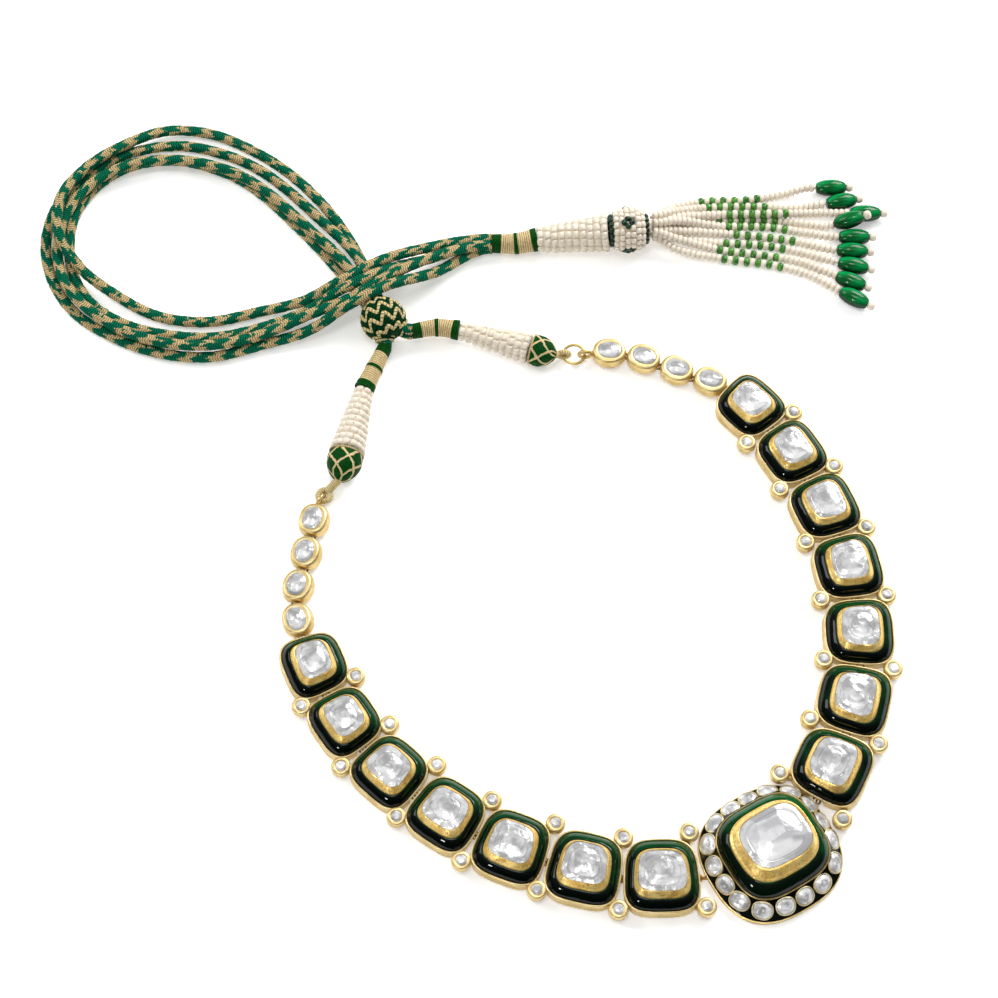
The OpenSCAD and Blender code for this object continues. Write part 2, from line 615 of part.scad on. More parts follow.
// A drop's ends, and the frame along it
function drop_dir(d) = unit([cos(d[2]) * drop_len, sin(d[2]) * drop_len, d[4] - d[3]]);
function drop_mid(d) = [d[0], d[1], (d[3] + d[4]) / 2];
module glass_drop(d) {
    dir = drop_dir(d);
    r = drop_d / 2;
    translate(drop_mid(d)) rotate([0, acos(dir.z), atan2(dir.y, dir.x)])
        rotate_extrude($fn = 48)
            polygon([
                [drop_bore_r, -drop_len / 2], [0.66 * r, -drop_len / 2], [0.9 * r, -0.34 * drop_len],
                [r, -0.12 * drop_len], [r, 0.12 * drop_len], [0.9 * r, 0.34 * drop_len],
                [0.66 * r, drop_len / 2], [drop_bore_r, drop_len / 2]]);
}
module tassel_drops() {
    for (d = drops) {
        glass_drop(d);
    }
}
thread_r = 0.25;
tip_bead_r = 0.8;
module tassel_string(route, d) {
    dir = drop_dir(d);
    near = drop_mid(d) - (drop_len / 2 + 0.15) * dir;
    far = drop_mid(d) + (drop_len / 2 + 0.15 + tip_bead_r) * dir;
    full = concat(route, [near - 1.5 * dir, near]);
    tube(full, string_d / 2, 8, [1, 0, 0], dir);
    bar(near - 0.5 * dir, far, thread_r, thread_r);
    translate(far) sphere(r = tip_bead_r, $fn = 24);
}
module tassel_strings() {
    bar(tassel_head - [0.7, 0, 0], tassel_head + [0.5, 0, 0], 3.3, 3.3);
    for (k = [0 : len(drops) - 1]) {
        tassel_string(tassel_routes[k], drops[k]);
    }
}

arm_names = ["left", "right"];

gold = "#d9ad55";
green = "#0a5a34";
dark_enamel = "#06140f";
clear_stone = "#dcdde0";

for (arm = [
    [0, left_start, left_headings, left_side, left_roll, left_lug, left_thread_heading, left_first_cups],
    [1, right_start, right_headings, right_side, right_roll, right_lug, 0, right_first_cups]]) {
    name = arm_names[arm[0]];
    for (i = [0 : links_per_arm - 1]) {
        cups = cup_offsets(i, abs(arm[2][i] - arm[2][max(i - 1, 0)]), arm[7]);
        color(gold) on_arm(arm[1], arm[2], i) link_case(i, arm[3], cups);
        color(clear_stone) on_arm(arm[1], arm[2], i) link_stone(i, arm[3]);
        color(dark_enamel) on_arm(arm[1], arm[2], i) link_enamel_ring(i, arm[3]);  // link_enamel
        color(clear_stone) on_arm(arm[1], arm[2], i) link_cup_stones(i, arm[3], cups);  // collet_stones
    }
    for (i = [links_per_arm : links_per_arm + ovals_per_arm - 2]) {
        color(gold) middle_oval(arm[1], arm[2], i, arm[4]);
    }
    last = links_per_arm + ovals_per_arm - 1;
    color(gold) end_oval(arm[1], arm[2], last, arm[4], arm[5], arm[6]);
    for (i = [links_per_arm : last]) {
        color(clear_stone) on_arm(arm[1], arm[2], i) oval_stone(arm[4]);  // oval_stones
    }
}
color(gold) pendant_case();
color(dark_enamel) pendant_border();
color(green) pendant_enamel();
color(clear_stone) pendant_stone();
color(clear_stone) for (a = petal_angles) on_petal(a) petal_stone(a);  // petal_stones
color(gold) end_ring();
color(green) left_cap();
color(green) right_cap();
color("ivory") bar(left_cone_big, left_cone_small, left_cone_r, cone_small_r);  // left_cone
color("ivory") bar(right_cone_big, right_cone_small, right_cone_r, cone_small_r);  // right_cone
color(green) thread_wraps();
color(green) slider_knot();
color(green) cord(cord_a_route, right_wrap_path);  // cord_a
color(green) cord(cord_b_route, right_wrap_path);  // cord_b
color(green) cord(cord_c_route, left_wrap_path);  // cord_c
color(green) cord(cord_d_route, left_wrap_path);  // cord_d
color("ivory") bar(tail_cone_big, tail_cone_small, tail_cone_big_r, tail_cone_small_r);  // tail_cone
color("ivory") tail_ball();
color("ivory") tassel_strings();
color(green) tassel_drops();
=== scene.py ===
"""Looks of a kundan necklace: enamelled links, pendant, cords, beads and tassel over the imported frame."""
import math
import random

import bpy
import numpy as np
from mathutils import Matrix, Vector


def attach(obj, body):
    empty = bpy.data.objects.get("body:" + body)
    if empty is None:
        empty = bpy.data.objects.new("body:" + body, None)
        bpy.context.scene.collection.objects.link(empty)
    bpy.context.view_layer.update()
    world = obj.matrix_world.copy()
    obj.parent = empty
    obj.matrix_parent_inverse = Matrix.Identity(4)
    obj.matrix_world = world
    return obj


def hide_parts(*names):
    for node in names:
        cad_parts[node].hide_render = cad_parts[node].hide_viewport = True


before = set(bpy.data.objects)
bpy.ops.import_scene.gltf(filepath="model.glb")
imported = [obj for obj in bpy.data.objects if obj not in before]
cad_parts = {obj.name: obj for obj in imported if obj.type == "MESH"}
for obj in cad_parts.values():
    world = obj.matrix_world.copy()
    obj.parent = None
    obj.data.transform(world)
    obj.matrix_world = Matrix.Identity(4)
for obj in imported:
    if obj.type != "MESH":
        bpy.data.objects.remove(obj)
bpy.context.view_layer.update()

MM = 0.001

# Sizes in millimetres, as the part has them
LINKS_PER_ARM = 7
OVALS_PER_ARM = 4
BIG_LINK = (14.6, 14.0)
SMALL_LINK = (12.9, 11.6)
LINK_GAP = 1.4
LINK_FLARE = 1.0
LINK_TAPER = 0.07
LINK_RIM_Z = 3.2
TROUGH_Z = 2.8
CUP_H = 3.6
CUP_R = 2.0
OVAL = (7.44, 6.2)
OVAL_RIM_Z = 3.9
OVAL_GAP = 0.5
EYE_R = 0.775
EYE_WIRE_R = 0.225
EYE_Z = 1.2
EYE_REACH = EYE_R / 2
PENDANT_HALF = (14.0, 13.6)
RING_HALF = (10.4, 9.7)
PENDANT_BEZEL_HALF = (8.4, 7.8)
PENDANT_STONE_HALF = (6.7, 6.1)
PENDANT_EDGE_Z = 1.4
RING_RIM_Z = 3.9
PENDANT_TURN = 30
PETAL_DEPTH = 3.4
PETAL_SHARE = 0.28
PETAL_ANGLES = (10, 30, 50, 70, 91, 112, 133, 154, 175, 196, 217, 237, 259, 281, 303, 325, 348)
CORD_D = 2.2
KNOT_D = 10.5
KNOT_CENTRE = Vector((-82, 123.5, KNOT_D / 2))
WRAP_R = 2.3
TAIL_WRAP_R = 2.6
BALL_CENTRE = Vector((-26, 147, 5.4))
TASSEL_HEAD = Vector((-21, 148.4, 4))
DROP_LEN = 6.8
DROP_D = 3.5

# Heights of each large stone's foot, girdle and crown
LINK_STONE = (4.2, 5.72, 6.42)
OVAL_STONE = (3.12, 3.85, 4.65)
PENDANT_STONE = (5.48, 7.45, 8.55)

# Points round each outline, and how square it is (2 is an ellipse)
LINK_SIDES, LINK_N, SEAT_N = 96, 3.4, 3.5
OVAL_SIDES, OVAL_N = 72, 2.2
PENDANT_SIDES, OUTER_N, RING_N = 160, 2.6, 3.1
PETAL_SIDES, PETAL_N = 40, 2.3

# Each arm: start beside the pendant, headings, side of the neck, roll of its ovals, first link's cups
ARMS = {
    "left": dict(
        start=(-14.7, -4.8),
        headings=(181, 167, 159, 146, 138, 124, 113, 104, 79, 80, 79),
        side=1, roll=5, first_cups=((-1.2, 2.2), (1.6, -0.4))),
    "right": dict(
        start=(9.9, 11.3),
        headings=(64, 75, 90, 101, 112, 121, 133, 161, 157, 160, 178),
        side=-1, roll=0, first_cups=((-1.2, 2.2), (2.3, -0.6))),
}
LUG_Z = 1.85
LEFT_LUG = Vector((-94.9, 80.1, LUG_Z))
RIGHT_LUG = Vector((-36.5, 116.4, LUG_Z))
LEFT_THREAD_HEADING = 57
LUG_RING_R = 1.3
LUG_WIRE_R = 0.38
THREAD_RING_R = 1.3
THREAD_WIRE_R = 0.7
RIGHT_THREAD_RING_R = 1.2
RIGHT_THREAD_WIRE_R = 0.6
JUMP_RING_R = 2.4
JUMP_WIRE_R = 0.35

# Cones, wraps and tail, in millimetres
LEFT_CONE = ((-89.3, 90.9, 4.05), (-86.1, 106.1, 3.4), 4.0, 2.1)
RIGHT_CONE = ((-48.9, 116.9, 3.65), (-64.3, 121.6, 3.3), 3.6, 2.1)
TAIL_CONE = ((-30.7, 146.8, 4.7), (-46.6, 145.8, 3.1), 4.6, 3.0)
LEFT_WRAP = ((-86, 106.7, 3.4), (-84, 111.5, 3.3), (-81.5, 117.5, 3.3))
RIGHT_WRAP = ((-64.9, 121.8, 3.3), (-69.5, 122.5, 3.3), (-75.5, 121.5, 3.3))
TAIL_WRAP = ((-57.5, 145, 2.6), (-52, 145, 2.6), (-47, 145.8, 3.1))
LEFT_CAP_H = 7.2
RIGHT_CAP_H = 6.0

# Cord routes in millimetres, from the collar's wraps to the tail's wrap
CORD_ROUTES = {
    "cord_a": (
        (-75.5, 121.5, 2.1), (-81, 124, 4.1), (-83.5, 129.5, 3), (-87.5, 141, 1.2), (-94, 152.5, 1.2),
        (-113.5, 171, 1.2), (-125, 176, 1.4), (-134.5, 176, 2.2), (-143.5, 171.5, 3.4),
        (-152.5, 164, 4.4), (-157.5, 154, 5.6), (-157, 146.5, 5.2), (-152, 138.5, 3.2),
        (-143.5, 132, 1.6), (-133.5, 126.5, 1.4), (-122.5, 125, 1.4), (-110.5, 127.5, 1.6),
        (-100, 130, 2.6), (-92.5, 132.5, 6.2), (-84, 137, 7.4), (-72, 142.5, 5), (-57.5, 146.2, 3.7)),
    "cord_b": (
        (-75.5, 121.5, 4.5), (-81, 124, 6.5), (-83.5, 129.5, 5.4), (-88.5, 141, 3.6), (-96.5, 151, 2),
        (-118, 169, 1.4), (-131, 172.5, 1.2), (-142.5, 170.5, 1.2), (-152.5, 164, 1.2),
        (-159, 155, 1.2), (-160.5, 145.5, 1.2), (-158, 135.5, 1.2), (-152.5, 127.5, 1.2),
        (-144, 121.5, 1.4), (-132.5, 117, 1.4), (-121, 116, 1.4), (-109.5, 119, 1.6),
        (-98.5, 122, 3.2), (-90, 125.5, 8), (-82.5, 129.5, 9), (-70.5, 136.5, 4), (-57.5, 143.8, 1.3)),
    "cord_c": (
        (-81.5, 117.5, 4.5), (-83, 123, 6.5), (-86, 128.5, 5.4), (-91, 139, 3.4), (-99, 147.5, 3.8),
        (-120, 164.5, 3.8), (-132, 167, 3.8), (-142.5, 165.5, 3.8), (-151, 160, 3.8),
        (-156, 152.5, 3.4), (-157.5, 144, 2.4), (-155.5, 135.5, 2.8), (-150.5, 128.5, 3.6),
        (-142.5, 122.5, 3.6), (-131, 118.5, 3.4), (-120.5, 118, 3.4), (-109.5, 120.5, 3.6),
        (-98.5, 125, 5), (-90, 128, 6.6), (-83, 132, 7.8), (-71.5, 139, 6.2), (-57.5, 143.8, 3.7)),
    "cord_d": (
        (-81.5, 117.5, 2.1), (-83, 123, 4.1), (-86, 128.5, 3), (-93, 139, 1.2), (-100.5, 148, 1.4),
        (-121, 165.5, 1.2), (-133, 168.5, 1.2), (-143, 166.5, 1.2), (-151, 160, 1.2),
        (-154.5, 153, 1.2), (-155, 144, 1.2), (-153, 136, 1.2), (-149, 130, 1.2),
        (-141, 124.5, 1.2), (-130.5, 121.5, 1.4), (-120.5, 121, 1.4), (-109.5, 123.5, 1.6),
        (-99, 127, 3.4), (-91, 130.5, 7.2), (-83.5, 134.5, 7.2), (-72, 141, 2.4), (-57.5, 146.2, 1.3)),
}

# Tassel strings, from the head out to each glass drop
TASSEL_ROUTES = (
    ((-21, 150.8, 4.4), (-15.5, 154.6, 2.4), (-9.5, 157, 0.9), (3, 157.8, 0.9), (11, 159.4, 0.9)),
    ((-21, 150.4, 5.6), (-15, 152.9, 3.6), (-8.5, 155.2, 1.3), (4, 155.8, 0.9), (14, 155.5, 0.9)),
    ((-21, 149, 3), (-15.5, 150.6, 1.4), (-6.5, 151.7, 0.9), (7, 152.2, 0.9), (15, 151.2, 0.9)),
    ((-21, 149.4, 4.4), (-15, 151.5, 3.4), (-6.5, 152.7, 2.3), (9, 153.1, 2.3), (18.5, 153.8, 1.4)),
    ((-21, 148.4, 5.8), (-15, 150, 4.3), (-4, 150.2, 1.4), (6.5, 150.3, 0.9), (14.5, 148.9, 0.9)),
    ((-21, 147.6, 4.4), (-15, 148.2, 2.9), (-5, 148.3, 1.4), (7, 147.4, 0.9), (14, 146.2, 0.9)),
    ((-21, 147.6, 3), (-15, 147, 1.4), (-7, 146.2, 0.9), (6.5, 145.1, 0.9), (14, 143.5, 0.9)),
    ((-21, 146.4, 5.4), (-15, 145.6, 3.6), (-4.5, 143.9, 1.2), (5.5, 142.6, 0.9), (14, 140.8, 0.9)),
    ((-21, 146, 4), (-15, 143.6, 2.2), (-5, 141.9, 0.9), (8, 139.9, 0.9), (15.5, 137.4, 0.9)),
)
# Glass drops: middle x, middle y, heading, height of the near end, height of the far end
DROPS = (
    (21.6, 160.6, 1, 1.8, 1.8), (23.8, 156.8, 10, 1.8, 1.8), (25.1, 150.8, 4, 1.8, 5),
    (29.2, 153.6, 0, 1.8, 1.8), (26.2, 147.2, 0, 1.8, 1.8), (25.5, 143.5, -4, 1.8, 1.8),
    (25.5, 139.6, -14, 1.8, 1.8), (24.7, 135.5, -23, 1.8, 1.8), (25.2, 131.1, -30, 1.8, 1.8),
)


# Outlines and frames

def ring_angles(sides, start=0.0):
    return (np.arange(sides) + start) / sides * 2 * math.pi


def edge_radius(half, n, a):
    """Distance from the middle of a rounded square to its edge, at angle a."""
    return (np.abs(np.cos(a) / half[0]) ** n + np.abs(np.sin(a) / half[1]) ** n) ** (-1 / n)


def squircle(half, n, sides, taper=0.0):
    """Points (sides, 2) of a rounded square with half sizes half; taper makes +y shorter."""
    a = ring_angles(sides, 0.5)
    r = edge_radius(half, n, a)
    y = r * np.sin(a)
    return np.stack([r * np.cos(a) * (1 - taper * y / half[1]), y], axis=1)


def wobble(sides, seed, amount):
    """Smooth uneven factor round an outline, about 1."""
    rng = random.Random(seed)
    a = ring_angles(sides, 0.5)
    total = np.zeros(sides)
    for waves in (2, 3, 5, 7):
        total += rng.uniform(0.3, 1) / waves * np.sin(waves * a + rng.uniform(0, 6.28))
    return 1 + amount * total


def at_height(outline, z):
    """Row of 3-D points from a flat outline; z is a number or one height per point."""
    heights = np.broadcast_to(np.asarray(z, float), (len(outline),))
    return np.column_stack([outline, heights])


def turned(outline, degrees, shift=(0, 0)):
    a = math.radians(degrees)
    turn = np.array([[math.cos(a), math.sin(a)], [-math.sin(a), math.cos(a)]])
    return outline @ turn + np.asarray(shift)


def heading(degrees):
    a = math.radians(degrees)
    return Vector((math.cos(a), math.sin(a), 0))


def lerp(a, b, t):
    return a + (b - a) * t


def link_size(i):
    t = i / (LINKS_PER_ARM - 1)
    return lerp(BIG_LINK[0], SMALL_LINK[0], t), lerp(BIG_LINK[1], SMALL_LINK[1], t)


def rotation(degrees, axis="Z"):
    return Matrix.Rotation(math.radians(degrees), 4, axis)


def arm_frame(arm, i):
    """Place of piece i of an arm: +x towards the pendant."""
    joint = Vector((*arm["start"], 0))
    for k in range(i + 1):
        square = k < LINKS_PER_ARM
        length = link_size(k)[0] if square else OVAL[0]
        gap = LINK_GAP if square else OVAL_GAP
        way = heading(arm["headings"][k])
        centre = joint + (length + gap) / 2 * way
        joint = joint + (length + gap) * way
    return Matrix.Translation(centre) @ rotation(arm["headings"][i] + 180)


def pointing(at, way):
    """Frame at a point whose +z runs along way."""
    return Matrix.Translation(Vector(at)) @ Vector(way).to_track_quat("Z", "Y").to_matrix().to_4x4()


def along(start, end):
    """Frame at start whose +z runs to end."""
    return pointing(start, Vector(end) - Vector(start))


def upright(way):
    """Directions across a way and above it."""
    across = Vector((0, 0, 1)).cross(way).normalized()
    return across, way.cross(across)


def round_axis(across, up, a):
    """Directions outward and onward at angle a round an axis."""
    return math.cos(a) * across + math.sin(a) * up, -math.sin(a) * across + math.cos(a) * up


def level_ring(radius, z, a):
    """Points at angles a of a level circle."""
    return np.column_stack([radius * np.cos(a), radius * np.sin(a), np.full(len(a), z)])


def section(centre, across, up, wide, high, a):
    """Points at angles a of an ellipse that spans two directions."""
    return np.array(centre) + np.outer(wide * np.cos(a), across) + np.outer(high * np.sin(a), up)


# Meshes

class Shape:
    """A mesh being built: points in millimetres, faces with a material number, and texture places."""

    def __init__(self):
        self.points = []
        self.count = 0
        self.faces = []
        self.marks = []
        self.places = []

    def add(self, points, faces, mark=0, frame_=None, uv=None):
        points = np.asarray(points, float).reshape(-1, 3)
        if frame_ is not None:
            m = np.array(frame_)
            points = points @ m[:3, :3].T + m[:3, 3]
        faces = [[v + self.count for v in f] for f in faces]
        self.points.append(points)
        self.count += len(points)
        self.faces += faces
        self.marks += list(mark) if hasattr(mark, "__len__") else [mark] * len(faces)
        if uv is None:
            uv = [[(0.0, 0.0)] * len(f) for f in faces]
        self.places += uv

    def loft(self, rows, mark=0, frame_=None, closed=False, caps=(True, True), u=None):
        """Skin through rows of points; mark may be one number per band; u is a place along per row."""
        rows = np.asarray(rows, float)
        m, n = rows.shape[:2]
        bands = m if closed else m - 1
        band_marks = list(mark) if hasattr(mark, "__len__") else [mark] * bands
        u = list(range(m)) if u is None else list(u)
        if closed:
            u.append(u[0])
        faces, marks, uv = [], [], []
        for j in range(bands):
            j2 = (j + 1) % m
            for k in range(n):
                k2 = (k + 1) % n
                faces.append([j * n + k, j * n + k2, j2 * n + k2, j2 * n + k])
                marks.append(band_marks[j])
                v0, v1 = k / n, (k + 1) / n
                uv.append([(u[j], v0), (u[j], v1), (u[j + 1], v1), (u[j + 1], v0)])
        if not closed:
            for use, j, end_mark in zip(caps, (0, m - 1), (band_marks[0], band_marks[-1])):
                if use:
                    cap = [j * n + k for k in range(n)]
                    faces.append(cap if j else cap[::-1])
                    marks.append(end_mark)
                    uv.append([(u[j], k / n) for k in range(n)])
        self.add(rows.reshape(-1, 3), faces, marks, frame_, uv)

    def turn(self, profile, sides, mark=0, frame_=None, **how):
        """Surface of revolution about z from (radius, height) pairs, bottom to top; how goes to loft."""
        a = ring_angles(sides)
        self.loft([level_ring(r, z, a) for r, z in profile], mark, frame_, **how)

    def torus(self, ring_r, wire_r, frame_, mark=0, sides=32, wire_sides=12):
        wire = [(ring_r + wire_r * math.cos(t), wire_r * math.sin(t)) for t in ring_angles(wire_sides)]
        self.turn(wire, sides, mark, frame_, closed=True)

    def bar(self, start, end, r1, r2, mark=0):
        length = (Vector(end) - Vector(start)).length
        self.turn([(r1, 0), (r2, length)], 16, mark, along(start, end))

    def rod(self, start, end, radius, mark, frame_):
        """Straight bar whose ends are given in a frame of their own."""
        part = Shape()
        part.bar(start, end, radius, radius)
        self.add(part.points[0], part.faces, mark, frame_)

    def finish(self, name, materials, nodes, sharp=None):
        """Makes the object, in metres, riding on the body; nodes are the CAD solids it stands for."""
        mesh = bpy.data.meshes.new(name)
        points = np.concatenate(self.points) * MM
        mesh.from_pydata(points.tolist(), [], self.faces)
        mesh.polygons.foreach_set("material_index", np.array(self.marks, np.int32))
        mesh.polygons.foreach_set("use_smooth", np.full(len(self.faces), True))
        layer = mesh.uv_layers.new(name="place")
        flat = [c for face in self.places for corner in face for c in corner]
        layer.data.foreach_set("uv", np.array(flat, np.float32))
        for m in materials:
            mesh.materials.append(m)
        mesh.update()
        if sharp is not None:
            mesh.set_sharp_from_angle(angle=math.radians(sharp))
        obj = bpy.data.objects.new(name, mesh)
        bpy.context.collection.objects.link(obj)
        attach(obj, "root")
        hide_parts(*nodes)
        return obj


def smooth_route(points, step, start_way=None, end_way=None):
    """Points every step millimetres along a smooth curve through the route's points."""
    p = [Vector(q) for q in points]
    gaps = [(b - a).length for a, b in zip(p, p[1:])]
    ways = []
    for k in range(len(p)):
        if k == 0:
            way = Vector(start_way) if start_way is not None else p[1] - p[0]
        elif k == len(p) - 1:
            way = Vector(end_way) if end_way is not None else p[-1] - p[-2]
        else:
            way = (p[k] - p[k - 1]) / gaps[k - 1] * gaps[k] + (p[k + 1] - p[k]) / gaps[k] * gaps[k - 1]
        ways.append(way.normalized())
    out = []
    for k, gap in enumerate(gaps):
        count = max(2, round(gap / step))
        for j in range(count):
            t = j / count
            h = (2 * t**3 - 3 * t**2 + 1, t**3 - 2 * t**2 + t, 3 * t**2 - 2 * t**3, t**3 - t**2)
            out.append(h[0] * p[k] + h[1] * gap * ways[k] + h[2] * p[k + 1] + h[3] * gap * ways[k + 1])
    out.append(p[-1])
    return out


def route_frames(route):
    """(centre, across, up, distance) for each point of a route, with no twist from the upright."""
    frames = []
    distance = 0.0
    for k, p in enumerate(route):
        way = (route[min(k + 1, len(route) - 1)] - route[max(k - 1, 0)]).normalized()
        if k:
            distance += (p - route[k - 1]).length
        frames.append((p, *upright(way), distance))
    return frames


def tube_rows(route, radius, sides):
    """Rings of a tube and how far along each is; radius is a number or a function of (distance, angles)."""
    a = ring_angles(sides)
    rows, places = [], []
    for p, across, up, distance in route_frames(route):
        r = radius(distance, a) if callable(radius) else radius
        rows.append(section(p, across, up, r, r, a))
        places.append(distance)
    return rows, places


# Materials

class Value:
    """What a node gives; arithmetic on it adds more nodes."""

    def __init__(self, nodes, socket):
        self.nodes = nodes
        self.socket = socket

    def beside(self, output):
        """Another output of the same node."""
        return Value(self.nodes, self.socket.node.outputs[output])

    def __add__(self, other):
        return self.nodes.math("ADD", self, other)

    def __sub__(self, other):
        return self.nodes.math("SUBTRACT", self, other)

    def __mul__(self, other):
        return self.nodes.math("MULTIPLY", self, other)

    def __truediv__(self, other):
        return self.nodes.math("DIVIDE", self, other)

    def __abs__(self):
        return self.nodes.math("ABSOLUTE", self)

    __rmul__ = __mul__


class Nodes:
    """Builds the nodes of a material or of the world."""

    def __init__(self, tree):
        self.tree = tree

    def link(self, source, target):
        """Links a value, or sets a number or a colour."""
        if isinstance(source, Value):
            self.tree.links.new(source.socket, target)
        else:
            target.default_value = (*source, 1) if isinstance(source, tuple) else source

    def node(self, kind, output, inputs, **settings):
        """Adds a node with its settings and inputs, and gives one of its outputs."""
        node = self.tree.nodes.new("ShaderNode" + kind)
        for key, value in settings.items():
            setattr(node, key, value)
        for key, value in inputs.items():
            self.link(value, node.inputs[key])
        return Value(self, node.outputs[output])

    def math(self, operation, *values):
        return self.node("Math", 0, dict(enumerate(values)), operation=operation)

    def scaled(self, vector, factor):
        return self.node("VectorMath", "Vector", {0: vector, "Scale": factor}, operation="SCALE")

    def split(self, vector):
        x = self.node("SeparateXYZ", "X", {0: vector})
        return x, x.beside("Y"), x.beside("Z")


class Finish(Nodes):
    """A material whose nodes are built in millimetre coordinates of the piece."""

    def __init__(self, name, **sockets):
        self.material = bpy.data.materials.new(name)
        self.material.use_nodes = True
        super().__init__(self.material.node_tree)
        for key, value in sockets.items():
            self.set(key.replace("_", " "), value)
        place = self.node("TexCoord", "Object", {})
        self.place = self.scaled(place, 1000)
        self.along, self.around, _ = self.split(place.beside("UV"))
        self.facing = self.split(place.beside("Normal"))

    def noise(self, size, detail=2.0, at=None, rough=0.5):
        """Noise from 0 to 1 whose lumps are about size millimetres across."""
        return self.node("TexNoise", "Fac", {"Vector": self.place if at is None else at, "Scale": 1 / size,
                                             "Detail": detail, "Roughness": rough})

    def ramp(self, value, low, high, to_low=0.0, to_high=1.0):
        inputs = dict(enumerate((value, low, high, to_low, to_high)))
        return self.node("MapRange", 0, inputs, interpolation_type="SMOOTHSTEP")

    def mix(self, share, a, b):
        """Colour a where share is 0, colour b where it is 1."""
        return self.node("Mix", 2, {0: share, 6: a, 7: b}, data_type="RGBA")

    def joined(self, x, y, z=0.0):
        return self.node("CombineXYZ", 0, {0: x, 1: y, 2: z})

    def pushed(self, x, y, reach):
        """The place, pushed aside by reach times x and y."""
        push = self.scaled(self.joined(x, y), reach)
        return self.node("VectorMath", "Vector", {0: self.place, 1: push}, operation="ADD")

    def set(self, name, value):
        self.link(value, self.tree.nodes["Principled BSDF"].inputs[name])

    def colour(self, value):
        self.set("Base Color", value)

    def bump(self, height, depth, strength):
        """Relief of depth millimetres from a height of 0 to 1."""
        inputs = {"Strength": strength, "Distance": depth * MM, "Height": height}
        self.set("Normal", self.node("Bump", 0, inputs))


def grey(tone):
    return (tone, tone, tone)


def gold_finish(name, light, warm, dark, rough, dents, metal=0.88):
    """Worked gold: pale worn patches, warmer hollows, dark specks, uneven polish and fine dents."""
    f = Finish(name, Metallic=metal, Specular_IOR_Level=0.5)
    base = f.mix(f.ramp(f.noise(3.4, 3), 0.35, 0.65), warm, light)
    dirt = f.ramp(f.noise(1.8, 3, rough=0.6), 0.60, 0.74)
    f.colour(f.mix(0.55 * dirt, base, dark))
    fine = f.noise(0.35, 3)
    f.set("Roughness", f.ramp(fine, 0.25, 0.75, rough - 0.05, rough + 0.10))
    f.bump(f.noise(1.6, 2) + 0.1 * fine, dents, 0.7)
    return f.material


def foil_finish():
    """Soft foil pressed by hand round a stone: tool marks across it, brown smudges in places, and painted
    brown shade in patches on faces turned to the near side.
    """
    f = Finish("kundan_foil", Metallic=0.5, Specular_IOR_Level=0.5)
    brown = (0.42, 0.21, 0.04)
    base = f.mix(f.ramp(f.noise(2.2, 3), 0.3, 0.7), (0.90, 0.58, 0.14), (1.0, 0.75, 0.27))
    smudge = f.ramp(f.noise(3.4, 3, rough=0.55), 0.58, 0.68)
    base = f.mix(0.55 * smudge, base, brown)
    # Painted shade: brown laid in noise patches on faces turned to the near side, away from the key lamp.
    groove = f.ramp(f.noise(2.0, 2), 0.50, 0.62)
    low = f.ramp(f.facing[1], -0.1, -0.45) * groove
    f.colour(f.mix(0.35 * low, base, brown))
    press = f.noise(0.55, 2)
    f.set("Roughness", f.ramp(press, 0.3, 0.7, 0.26, 0.46))
    marks = f.math("SINE", 420.0 * f.around)
    f.bump(0.04 * marks + 0.5 * press + f.noise(1.8, 1), 0.16, 0.7)
    return f.material


def enamel_finish(name, deep, bright):
    """Glassy enamel with painted light and shade: deep green on faces turned to the near side, brighter green
    on faces turned to the far and right side, uneven at random, with slight waves from the fire.
    """
    f = Finish(name, Roughness=0.05, IOR=1.5, Specular_IOR_Level=0.26)
    # Painted light and shade: the bright tone on faces turned to the far and right side, towards the key
    # lamp, the deep tone on faces turned to the near side, shifted by noise.
    side = 0.9 * f.facing[1] + 0.35 * f.facing[0] + 0.9 * (f.noise(3.5, 2) - 0.5)
    base = f.mix(f.ramp(side, -0.25, 0.65), deep, bright)
    speck = f.ramp(f.noise(0.28, 2), 0.72, 0.80)
    f.colour(f.mix(0.25 * speck, base, (0.0, 0.06, 0.02)))
    f.bump(f.noise(2.6, 2) + 0.12 * f.noise(0.7, 1), 0.12, 0.5)
    return f.material


def stone_nodes(name):
    return Finish(name, Metallic=0.12, IOR=1.55, Specular_IOR_Level=0.6)


def ringed(f, base, rings, sway, gaps, least):
    """Soft inner rings (row, width, strength, tone) that sway and fade in gaps, sized in millimetres."""
    row = f.along + (6.0 * f.noise(sway, 2) - 3.0)
    broken = f.ramp(f.noise(gaps, 2), 0.36, 0.58, least, 1.0)
    for middle, wide, strength, tone in rings:
        share = f.ramp(abs(row - middle), 0.0, wide, strength, 0.0) * broken
        base = f.mix(share, base, grey(tone))
    return base


def slope_painted_light(f, base, slope, rows, share, colour):
    """Painted light: a colour laid where the face leans by slope, fading in over rows."""
    return f.mix(share * (f.ramp(f.facing[1], *slope) * f.ramp(f.along, *rows)), base, colour)


